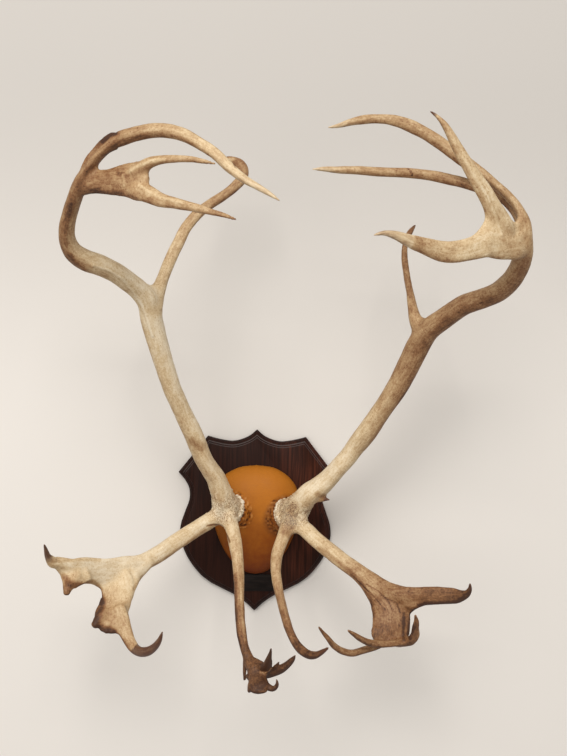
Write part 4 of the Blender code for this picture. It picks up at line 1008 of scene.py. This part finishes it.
def buildAntler(design):
    skin = antlerSkin
    branches = design["branches"]
    lines = [followBranch(branch["stations"]) for branch in branches]
    blends = [branch["grow"] * mm for branch in branches]
    bm = bmesh.new()
    for line in lines:
        addTube(bm, line)
    mesh = remeshed(meshFrom(bm, design["name"]), skin["firstVoxel"] * mm)
    mesh = projected(mesh, lines, blends, 4)
    mesh = projected(remeshed(mesh, skin["voxel"] * mm), lines, blends, 3, 0.2)
    mesh = largestPart(mesh)
    points = readPoints(mesh)
    normals = readPoints(mesh, "normal")
    count = len(points)

    grain, fork, facets, tone, tips = branchValues(design, lines, points)
    base = lines[0]
    run, _, _, distance, _ = intoBranch(base, points)
    (fadeFrom, fadeTo), (nearBeam, offBeam) = skin["hubFades"], skin["hubSpreads"]
    hub = 1 - smoothStep(fadeFrom * mm, fadeTo * mm, run + 12 * mm * latticeNoise(points * 60, 5))
    hub *= 1 - smoothStep(nearBeam * mm, offBeam * mm, distance)
    calm = 1 - skin["tipCalm"] * np.maximum(tips["dark"], tips["pale"])
    relief = skin["facet"] * mm * facets * (1 - fork) * calm * (1 - hub)
    ridges = layeredNoise(grain * (14, 150, 150), design["seed"] + 10)
    lumps = layeredNoise(points * 38, design["seed"] + 20)
    fine = skin["ridge"] * ridges * (1 - fork) * calm + skin["lump"] * lumps * calm
    relief += fine * mm
    height = 0.6 * fine
    # faces that look down are darker: partly stain, partly painted shade from the light above
    tone += skin["underShadeAndStain"] * smoothStep(0.05, 0.6, -normals[:, 2])
    for mark in design["marks"]:
        share = markShares(mark, points, normals)
        tone += mark["tone"] * share
        relief += mark.get("rise", 0) * mm * share

    random = np.random.default_rng(design["seed"])
    pearls = np.zeros(count)
    for distanceUp, beads in skin["burrRows"]:
        step = int(np.searchsorted(base["run"], distanceUp * mm))
        centre, across, deep = base["centre"][step], base["across"][step], base["deep"][step]
        turns = (np.arange(beads) + random.uniform(-0.3, 0.3, beads)) / beads * math.tau
        centres = (centre + np.outer(np.cos(turns), across) * base["half"][step, 0]
                   + np.outer(np.sin(turns), deep) * base["half"][step, 1])
        addBumps(points, pearls, centres,
                 skin["beadSize"] * mm * random.uniform(1.0, 1.5, beads),
                 skin["beadHeight"] * mm * random.uniform(0.5, 1.1, beads))
    onHub = np.where((hub > 0.3) & (run > 0.008))[0]
    chosen = random.choice(onHub, skin["hubPearls"], replace=False)
    addBumps(points, pearls, points[chosen], mm * random.uniform(*skin["pearlSizes"], len(chosen)),
             mm * random.uniform(*skin["pearlHeights"], len(chosen)))
    relief += pearls - skin["hubHollow"] * mm * hub
    height += pearls / mm - 0.4 * hub

    for name, values in (("grain", grain), ("fork", fork), ("tone", tone), ("hub", hub),
                         ("tipDark", tips["dark"]), ("tipPale", tips["pale"]),
                         ("relief", height)):
        store(mesh, name, values)
    points = points + normals * relief[:, None]
    writePoints(mesh, np.clip(points, np.array(cadBox[0]) + 1e-4, np.array(cadBox[1]) - 1e-4))
    print(design["name"], "has", sum(len(p.vertices) - 2 for p in mesh.polygons), "triangles")
    addPiece(design["name"], mesh, bone, design["replaces"])


buildAntler(leftAntler)
buildAntler(rightAntler)
print("antlers grown")


# Leather over the skull cap

saddle = {
    "outline": ((0, 114), (34, 109), (61, 95), (78.5, 74), (87, 46), (88, 18), (83.5, -7), (75.5, -32),
                (64.5, -56), (50, -78), (33, -95), (15, -104.5), (0, -107)),
    "middle": (0, 12), "height": 45, "back": 22.3, "fullness": 0.8, "levels": 16,
    "pedicleDeep": 20, "sleeveRings": 6, "sleeveSides": 48, "pedicleWider": 8,
    "voxel": 1.6, "hemHigh": 3,
    "puckerHeight": 1.2, "puckerReach": 11.5, "hemWander": 0.006, "swell": 0.5,
    "fillet": (4, 24), "lip": (1, 7), "filletRounds": 60, "softenRounds": 3,
    "collarShades": (0.1, 0.55), "shadeReach": 11,  # left, right
}


def mirrored(half):
    return half + [(-x, z) for x, z in reversed(half[1:-1])]


def aroundCollar(collar, points):
    # each point's run along a collar's axis, its distance from that axis and its turn round it
    offset = points - collar["centre"]
    axial = offset @ collar["along"]
    radial = np.linalg.norm(offset - np.outer(axial, collar["along"]), axis=1)
    return axial, radial, np.arctan2(offset @ collar["deep"], offset @ collar["across"])


def buildSaddle():
    design = saddle
    curve = curveThrough([(x, 0, z) for x, z in design["outline"]], 5)
    outline = mirrored([(x, z) for x, _, z in curve])
    middleX, middleZ = design["middle"]
    turns = np.array([math.atan2(z - middleZ, x - middleX) for x, z in outline])
    around = np.stack((np.cos(turns), np.sin(turns), 0 * turns), 1)
    hem = 1 + design["hemWander"] * (layeredNoise(around * 5, 31) - 0.5)
    outline = [(middleX + (x - middleX) * grow, middleZ + (z - middleZ) * grow)
               for (x, z), grow in zip(outline, hem)]
    bm = bmesh.new()
    rings = []
    levels = design["levels"]
    for level in range(levels):
        rise = math.pi / 2 * level / levels
        spread = math.cos(rise) ** design["fullness"]
        rings.append([bm.verts.new(Vector((middleX + (x - middleX) * spread,
                                           -design["back"] - design["height"] * math.sin(rise),
                                           middleZ + (z - middleZ) * spread)) * mm)
                      for x, z in outline])
    top = bm.verts.new(Vector((middleX, -design["back"] - design["height"], middleZ)) * mm)
    joinRings(bm, rings)
    for here, after in zip(rings[-1], rings[-1][1:] + rings[-1][:1]):
        bm.faces.new((here, after, top))
    bm.faces.new(rings[0])
    bmesh.ops.recalc_face_normals(bm, faces=bm.faces)
    collars = []
    for antler in (leftAntler, rightAntler):
        base = followBranch(antler["branches"][0]["stations"])
        centre, along = base["centre"][0], base["along"][0]
        half = base["half"][0, 0] + design["pedicleWider"] / 2 * mm
        count = design["sleeveRings"]
        steps = np.linspace(-design["pedicleDeep"], -0.6, count)[:, None] * mm
        size = np.full((count, 2), half)
        size[0] -= design["pedicleWider"] / 2 * mm
        size[-1] -= 1.5 * mm
        across, deep = base["across"][0], base["deep"][0]
        sleeve = {"centre": centre + along * steps, "across": np.tile(across, (count, 1)),
                  "deep": np.tile(deep, (count, 1)), "half": size}
        addTube(bm, sleeve, design["sleeveSides"])
        collars.append({"centre": centre, "along": along, "across": across, "deep": deep,
                        "half": half})
    mesh = remeshed(meshFrom(bm, "leather_saddle"), design["voxel"] * mm)
    edges = edgesOf(mesh)
    points = readPoints(mesh)
    closeness = np.zeros(len(points))
    (filletFrom, filletTo), (lipFrom, lipTo) = design["fillet"], design["lip"]
    for collar in collars:
        axial, radial, _ = aroundCollar(collar, points)
        here = 1 - smoothStep(filletFrom * mm, filletTo * mm, np.abs(radial - collar["half"]))
        closeness = np.maximum(closeness, here * smoothStep(lipFrom * mm, lipTo * mm, -axial))
    onWood = points[:, 1] > -(design["back"] + design["hemHigh"]) * mm
    closeness[onWood] = 0
    for _ in range(design["filletRounds"]):
        points += (0.6 * closeness)[:, None] * (averaged(points, edges) - points)
    for _ in range(design["softenRounds"]):
        free = np.where(onWood, 0.0, 0.4)[:, None]
        points += free * (averaged(points, edges) - points)
    writePoints(mesh, points)

    normals = readPoints(mesh, "normal")
    pucker = np.zeros(len(points))
    collarShade = np.zeros(len(points))
    reach, shadeReach = design["puckerReach"] * mm, design["shadeReach"] * mm
    for side, collar in enumerate(collars):
        axial, radial, turn = aroundCollar(collar, points)
        half = collar["half"]
        share = 1 - smoothStep(half + 0.4 * reach, half + reach, radial + 0.25 * np.abs(axial))
        share[radial < half * 0.55] = 0
        spots = np.stack((np.cos(turn) * 6, np.sin(turn) * 6, radial * 70), 1)
        folds = 0.5 * latticeNoise(spots, side + 40) + 1.5 * latticeNoise(points * 250, side + 50)
        pucker += share * folds
        onCollar = 1 - smoothStep(half, half + shadeReach, radial)
        collarShade = np.maximum(collarShade, design["collarShades"][side] * onCollar)
    pucker[onWood] *= 0.2
    swell = design["swell"] * layeredNoise(points * 22, 61)
    points += normals * (design["puckerHeight"] * pucker + swell * ~onWood)[:, None] * mm
    writePoints(mesh, points)
    store(mesh, "pucker", np.clip(pucker, -1, 1))
    store(mesh, "collarShade", collarShade)
    addPiece("leather_saddle", mesh, leather, ("leather_skull_cap",))


buildSaddle()
print("leather stretched")


# Shield

shield = {
    "topArc": ((0, 183), (14, 171), (30, 163.5), (47, 159.5), (65, 161), (82, 164.5), (99, 169)),
    "shoulder": ((99, 169), (157, 95)),
    "side": ((157, 95), (144, 80), (135, 62), (134, 44), (143, 15), (151, -10), (152.5, -30),
             (148, -52), (139, -74), (124, -97), (107, -116), (88, -130)),
    "footArc": ((88, -130), (66, -141), (44, -152), (21, -167), (0, -186)),
    # edge profile from the back: inwards, forwards
    "profile": ((0.6, 0.0), (0, 0.6), (0, 7.4), (0.5, 8.0), (2.0, 8.6), (2.2, 9.6), (3.0, 11.6),
                (4.4, 13.2), (6.2, 14.2), (7.6, 15.0), (8.2, 16.2), (8.4, 18.2), (9.0, 18.8),
                (10.2, 19.2), (10.6, 20.6), (11.2, 21.6), (12.2, 22.0)),
    "ridges": (15.0, 20.7), "ridgeShine": 0.75,  # two levels whose top edges catch the light
    # let into the back: width and height, how deep, and where its middle is
    "hanger": (38.6, 22.6), "hangerDeep": 2.3, "hangerMiddle": 139, "pocket": (13, 22, 9),
    "pocketRound": 3.6, "screwHole": 3.5, "screwApart": 28, "screwDeep": 9.3,
}


def insetOutline(inwards, step=4):
    # the outline moved inwards by the same distance all round, cut or drawn out at its corners
    corners = [(0, shield["topArc"][0][1])]
    arcs, counts = [], []
    for name in ("topArc", "shoulder", "side", "footArc"):
        curve = curveThrough([(x, 0, z) for x, z in shield[name]], step)[:, (0, 2)]
        along = unit(np.gradient(curve, axis=0))
        arc = curve + inwards * np.stack((along[:, 1], -along[:, 0]), 1)
        reach = 3 * inwards + 1
        arcs.append([arc[0] - along[0] * reach, *arc, arc[-1] + along[-1] * reach])
        counts.append(len(curve))
        corners.append(shield[name][-1])
    middle = [(0.0, 400.0), (0.0, -400.0)]  # the line that the shield is mirrored across
    for k, corner in enumerate(corners):
        before = arcs[k - 1] if k else middle
        after = arcs[k] if k < len(arcs) else middle
        i, j, place = meetingPlace(before, after, corner)
        if k:
            arcs[k - 1] = [*before[:i + 1], place]
        if k < len(arcs):
            arcs[k] = [place, *after[j + 1:]]
    half = []
    for arc, count in zip(arcs, counts):
        arc = np.array(arc)
        run = np.concatenate(([0], np.cumsum(np.linalg.norm(np.diff(arc, axis=0), axis=1))))
        even = np.linspace(0, run[-1], count)[:-1]
        half += [(np.interp(s, run, arc[:, 0]), np.interp(s, run, arc[:, 1])) for s in even]
    half.append(tuple(arcs[-1][-1]))
    return mirrored(half)


def meetingPlace(first, second, corner):
    # where two runs of points cross, nearest to a corner
    found = []
    for i, (a, b) in enumerate(zip(first, first[1:])):
        for j, (c, d) in enumerate(zip(second, second[1:])):
            place = intersect_line_line_2d(Vector(a), Vector(b), Vector(c), Vector(d))
            if place is not None:
                found.append((math.dist(place, corner), i, j, tuple(place)))
    return min(found)[1:]


def cutter(name, bm):
    bmesh.ops.recalc_face_normals(bm, faces=bm.faces)
    made = bpy.data.objects.new(name, meshFrom(bm, name))
    bpy.context.scene.collection.objects.link(made)
    return made


def carve(piece, cutters, crossing=False):
    for made in cutters:
        boolean = piece.modifiers.new("cut", "BOOLEAN")
        boolean.operation = "DIFFERENCE"
        boolean.use_self = crossing  # for a cutter whose own parts cross
        boolean.object = made
    graph = bpy.context.evaluated_depsgraph_get()
    carved = bpy.data.meshes.new_from_object(piece.evaluated_get(graph))
    piece.modifiers.clear()
    for made in cutters:
        bpy.data.objects.remove(made)
    piece.data = carved
    return carved


def boxCutter(width, height, deep, x, z):
    bm = bmesh.new()
    made = bmesh.ops.create_cube(bm, size=1)
    bmesh.ops.scale(bm, vec=Vector((width, 2 * deep, height)) * mm, verts=made["verts"])
    bmesh.ops.translate(bm, vec=Vector((x, 0, z)) * mm, verts=made["verts"])
    upright = [e for e in bm.edges
               if abs((e.verts[0].co - e.verts[1].co).normalized().y) > 0.9]
    bmesh.ops.bevel(bm, geom=upright, offset=shield["pocketRound"] * mm, segments=5,
                    affect="EDGES")
    return cutter("pocket", bm)


def drillCutter(radius, deep, x, z):
    bm = bmesh.new()
    made = bmesh.ops.create_cone(bm, cap_ends=True, segments=32, radius1=radius * mm,
                                 radius2=radius * mm, depth=2 * deep * mm)
    turn = Matrix.Rotation(math.pi / 2, 3, "X")
    bmesh.ops.rotate(bm, matrix=turn, verts=made["verts"])
    bmesh.ops.translate(bm, vec=Vector((x, 0, z)) * mm, verts=made["verts"])
    return cutter("drill", bm)


def buildShield():
    bm = bmesh.new()
    rings = []
    for inwards, forwards in shield["profile"]:
        rings.append([bm.verts.new(Vector((x, -forwards, z)) * mm)
                      for x, z in insetOutline(inwards)])
    joinRings(bm, rings)
    bm.faces.new(rings[0])
    bm.faces.new(rings[-1])
    bmesh.ops.recalc_face_normals(bm, faces=bm.faces)
    mesh = meshFrom(bm, "walnut_shield")
    piece = addPiece("walnut_shield", mesh, walnut, ("shield_plaque",))
    middle = shield["hangerMiddle"]
    cutters = [boxCutter(*shield["hanger"], shield["hangerDeep"], 0, middle),
               boxCutter(*shield["pocket"], 0, middle)]
    for side in (-1, 1):
        cutters.append(drillCutter(shield["screwHole"], shield["screwDeep"],
                                   side * shield["screwApart"] / 2, middle))
    carved = carve(piece, cutters)
    points = readPoints(carved)
    out = -points[:, 1] / mm
    upward = smoothStep(0.1, 0.6, readPoints(carved, "normal")[:, 2])
    ridge = np.zeros(len(points))
    for level in shield["ridges"]:
        ridge = np.maximum(ridge, 1 - smoothStep(0.2, 0.7, np.abs(out - level)))
    aloft = smoothStep(0.06, 0.1, points[:, 2])
    shine = shield["ridgeShine"] * ridge * np.maximum(upward, 0.4 * aloft) * aloft
    store(carved, "edgeShine", shine)
    carved.shade_smooth()
    carved.set_sharp_from_angle(angle=math.radians(28))


buildShield()
print("shield cut")


# Name plate, bare

plate = {"size": (86, 34), "middle": (0, -125), "back": 22.3, "thick": 1.6, "corner": 2.5,
         "bevel": 0.4}


def roundedOutline(width, height, corner, middle, steps=8):
    points = []
    for signX, signZ, start in ((1, 1, 0), (-1, 1, 90), (-1, -1, 180), (1, -1, 270)):
        for k in range(steps + 1):
            turn = math.radians(start + 90 * k / steps)
            points.append((middle[0] + signX * (width / 2 - corner) + corner * math.cos(turn),
                           middle[1] + signZ * (height / 2 - corner) + corner * math.sin(turn)))
    return points


def loopedRings(bm, rings):
    made = [[bm.verts.new(Vector(place) * mm) for place in ring] for ring in rings]
    joinRings(bm, made)
    bm.faces.new(made[0])
    bm.faces.new(made[-1])
    bmesh.ops.recalc_face_normals(bm, faces=bm.faces)


def plateRing(inwards, out):
    width, height = plate["size"]
    corner = max(plate["corner"] - inwards, 0.4)
    outline = roundedOutline(width - 2 * inwards, height - 2 * inwards, corner, plate["middle"])
    return [(x, -out, z) for x, z in outline]


def buildPlate():
    front = plate["back"] + plate["thick"]
    bm = bmesh.new()
    loopedRings(bm, [plateRing(0, plate["back"]), plateRing(0, front - plate["bevel"]),
                     plateRing(plate["bevel"] * 0.3, front - plate["bevel"] * 0.3),
                     plateRing(plate["bevel"], front)])
    mesh = meshFrom(bm, "black_plate")
    addPiece("black_plate", mesh, plateBlack, ("name_plate",))
    mesh.set_sharp_from_angle(angle=math.radians(40))


buildPlate()


# Hanger and its screws, let into the back

screw = {"head": 3.2, "rim": 0.3, "shank": 1.7, "headDeep": 2.6, "end": 9.0, "start": 0.2,
         "sides": 28,
         "pitch": 0.45, "threadDeep": 0.35, "point": 0.5, "pointLong": 1.2,
         "slot": 0.9, "slotLong": 4.4, "slotBox": 2.4}


def buildScrew(side, name):
    x0 = side * shield["screwApart"] / 2
    z0 = shield["hangerMiddle"]
    head, start, rim = screw["head"], screw["start"], screw["rim"]
    profile = [(head - rim, start), (head, start + rim), (head, start + 2 * rim),
               (screw["shank"], screw["headDeep"])]
    turn = 0
    while profile[-1][1] < screw["end"] - screw["pointLong"]:
        turn += 1
        radius = screw["shank"] - (screw["threadDeep"] if turn % 2 else 0.0)
        profile.append((radius, screw["headDeep"] + screw["pitch"] * turn))
    profile.append((screw["point"], screw["end"]))
    sides = screw["sides"]
    rings = [[(x0 + radius * math.cos(math.tau * k / sides), -out,
               z0 + radius * math.sin(math.tau * k / sides)) for k in range(sides)]
             for radius, out in profile]
    bm = bmesh.new()
    loopedRings(bm, rings)
    piece = addPiece(name, meshFrom(bm, name), steel, ("hanger_" + name,))
    bm = bmesh.new()
    long, narrow = screw["slotLong"], screw["slot"]
    for wide, high in ((long, narrow), (narrow, long)):
        made = bmesh.ops.create_cube(bm, size=1)
        size = Vector((wide, screw["slotBox"], high))
        bmesh.ops.scale(bm, vec=size * mm, verts=made["verts"])
        bmesh.ops.translate(bm, vec=Vector((x0, 0.0, z0)) * mm, verts=made["verts"])
    carved = carve(piece, [cutter("cross", bm)], crossing=True)
    carved.set_sharp_from_angle(angle=math.radians(35))


for screwSide, screwName in ((-1, "screw_left"), (1, "screw_right")):
    buildScrew(screwSide, screwName)
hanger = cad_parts["keyhole_hanger"]
hanger.data.materials.clear()
hanger.data.materials.append(steel)
print("plate, hanger and screws made")


# Studio: pale wall and floor, soft light from above, and the camera

studio = {
    "wallGap": 0.0015, "wallWide": 6.0, "wallHigh": 3.0, "floorDrop": 0.95, "floorDeep": 5.0,
    "wallColour": (0.755, 0.715, 0.67), "wallTopShade": 0.73, "worldLight": 0.5,
    "keySize": (4.0, 2.6), "keyPlace": (-0.5, -5.0, 4.0), "keyPower": 275,
    "fillSize": (2.4, 2.4), "fillPlace": (-2.2, -3.4, 0.6), "fillPower": 30,
    "lightColour": (1.0, 0.97, 0.93), "worldColour": (1.0, 0.985, 0.96, 1.0),
    "lightsFace": (0.03, -0.25, 0.25),
    "cameraPlace": (-0.00614, -2.1182, 0.39146), "cameraTurn": (87.199, -1.005, -1.509),
    "cameraLens": 50, "cameraSensor": 36,
}


def makeBackdropPaint():
    # plain pale paint, see-through from behind so that the mount's back can be looked at
    material, tree, shader = newMaterial("paleBackdrop")
    place = addNode(tree, "ShaderNodeTexCoord").outputs["Object"]
    height = addNode(tree, "ShaderNodeSeparateXYZ", Vector=place).outputs["Z"]
    shaded = tuple(studio["wallTopShade"] * value for value in studio["wallColour"])
    colour = blended(tree, ranged(tree, height, 0.1, 0.9), studio["wallColour"], shaded)
    tree.links.new(colour, shader.inputs["Base Color"])
    shader.inputs["Roughness"].default_value = 0.8
    clear = addNode(tree, "ShaderNodeBsdfTransparent")
    behind = addNode(tree, "ShaderNodeNewGeometry").outputs["Backfacing"]
    mixer = addNode(tree, "ShaderNodeMixShader", i0=behind)
    tree.links.new(shader.outputs[0], mixer.inputs[1])
    tree.links.new(clear.outputs[0], mixer.inputs[2])
    tree.links.new(mixer.outputs[0], tree.nodes["Material Output"].inputs["Surface"])
    return material


def addSheet(name, corners, material):
    mesh = bpy.data.meshes.new(name)
    mesh.from_pydata(corners, [], [tuple(range(len(corners)))])
    sheet = bpy.data.objects.new(name, mesh)
    bpy.context.scene.collection.objects.link(sheet)
    mesh.materials.append(material)
    sheet.visible_shadow = False
    sheet.visible_diffuse = False
    sheet.visible_glossy = False
    sheet.visible_transmission = False


def addLight(name, place, size, power, target):
    data = bpy.data.lights.new(name, "AREA")
    data.shape = "RECTANGLE"
    data.size, data.size_y = size
    data.energy = power
    data.color = studio["lightColour"]
    light = bpy.data.objects.new(name, data)
    bpy.context.scene.collection.objects.link(light)
    light.location = place
    light.rotation_euler = (Vector(target) - Vector(place)).to_track_quat("-Z", "Y").to_euler()


def setStudio():
    bpy.context.scene.view_settings.view_transform = "Standard"
    paint = makeBackdropPaint()
    half = studio["wallWide"] / 2
    gap, low, high = studio["wallGap"], -studio["floorDrop"], studio["wallHigh"]
    addSheet("backdrop", [(-half, gap, low), (half, gap, low), (half, gap, high),
                          (-half, gap, high)], paint)
    near = -studio["floorDeep"]
    addSheet("floor", [(-half, near, low), (half, near, low), (half, gap, low),
                       (-half, gap, low)], paint)
    world = bpy.data.worlds.new("paleRoom")
    bpy.context.scene.world = world
    world.use_nodes = True
    background = world.node_tree.nodes["Background"]
    background.inputs["Color"].default_value = studio["worldColour"]
    background.inputs["Strength"].default_value = studio["worldLight"]
    for light in ("key", "fill"):
        addLight("soft" + light.title(), studio[light + "Place"], studio[light + "Size"],
                 studio[light + "Power"], studio["lightsFace"])
    data = bpy.data.cameras.new("camera")
    data.lens = studio["cameraLens"]
    data.sensor_width = studio["cameraSensor"]
    camera = bpy.data.objects.new("camera", data)
    bpy.context.scene.collection.objects.link(camera)
    camera.location = studio["cameraPlace"]
    camera.rotation_euler = [math.radians(turn) for turn in studio["cameraTurn"]]
    bpy.context.scene.camera = camera


setStudio()
print("studio set")
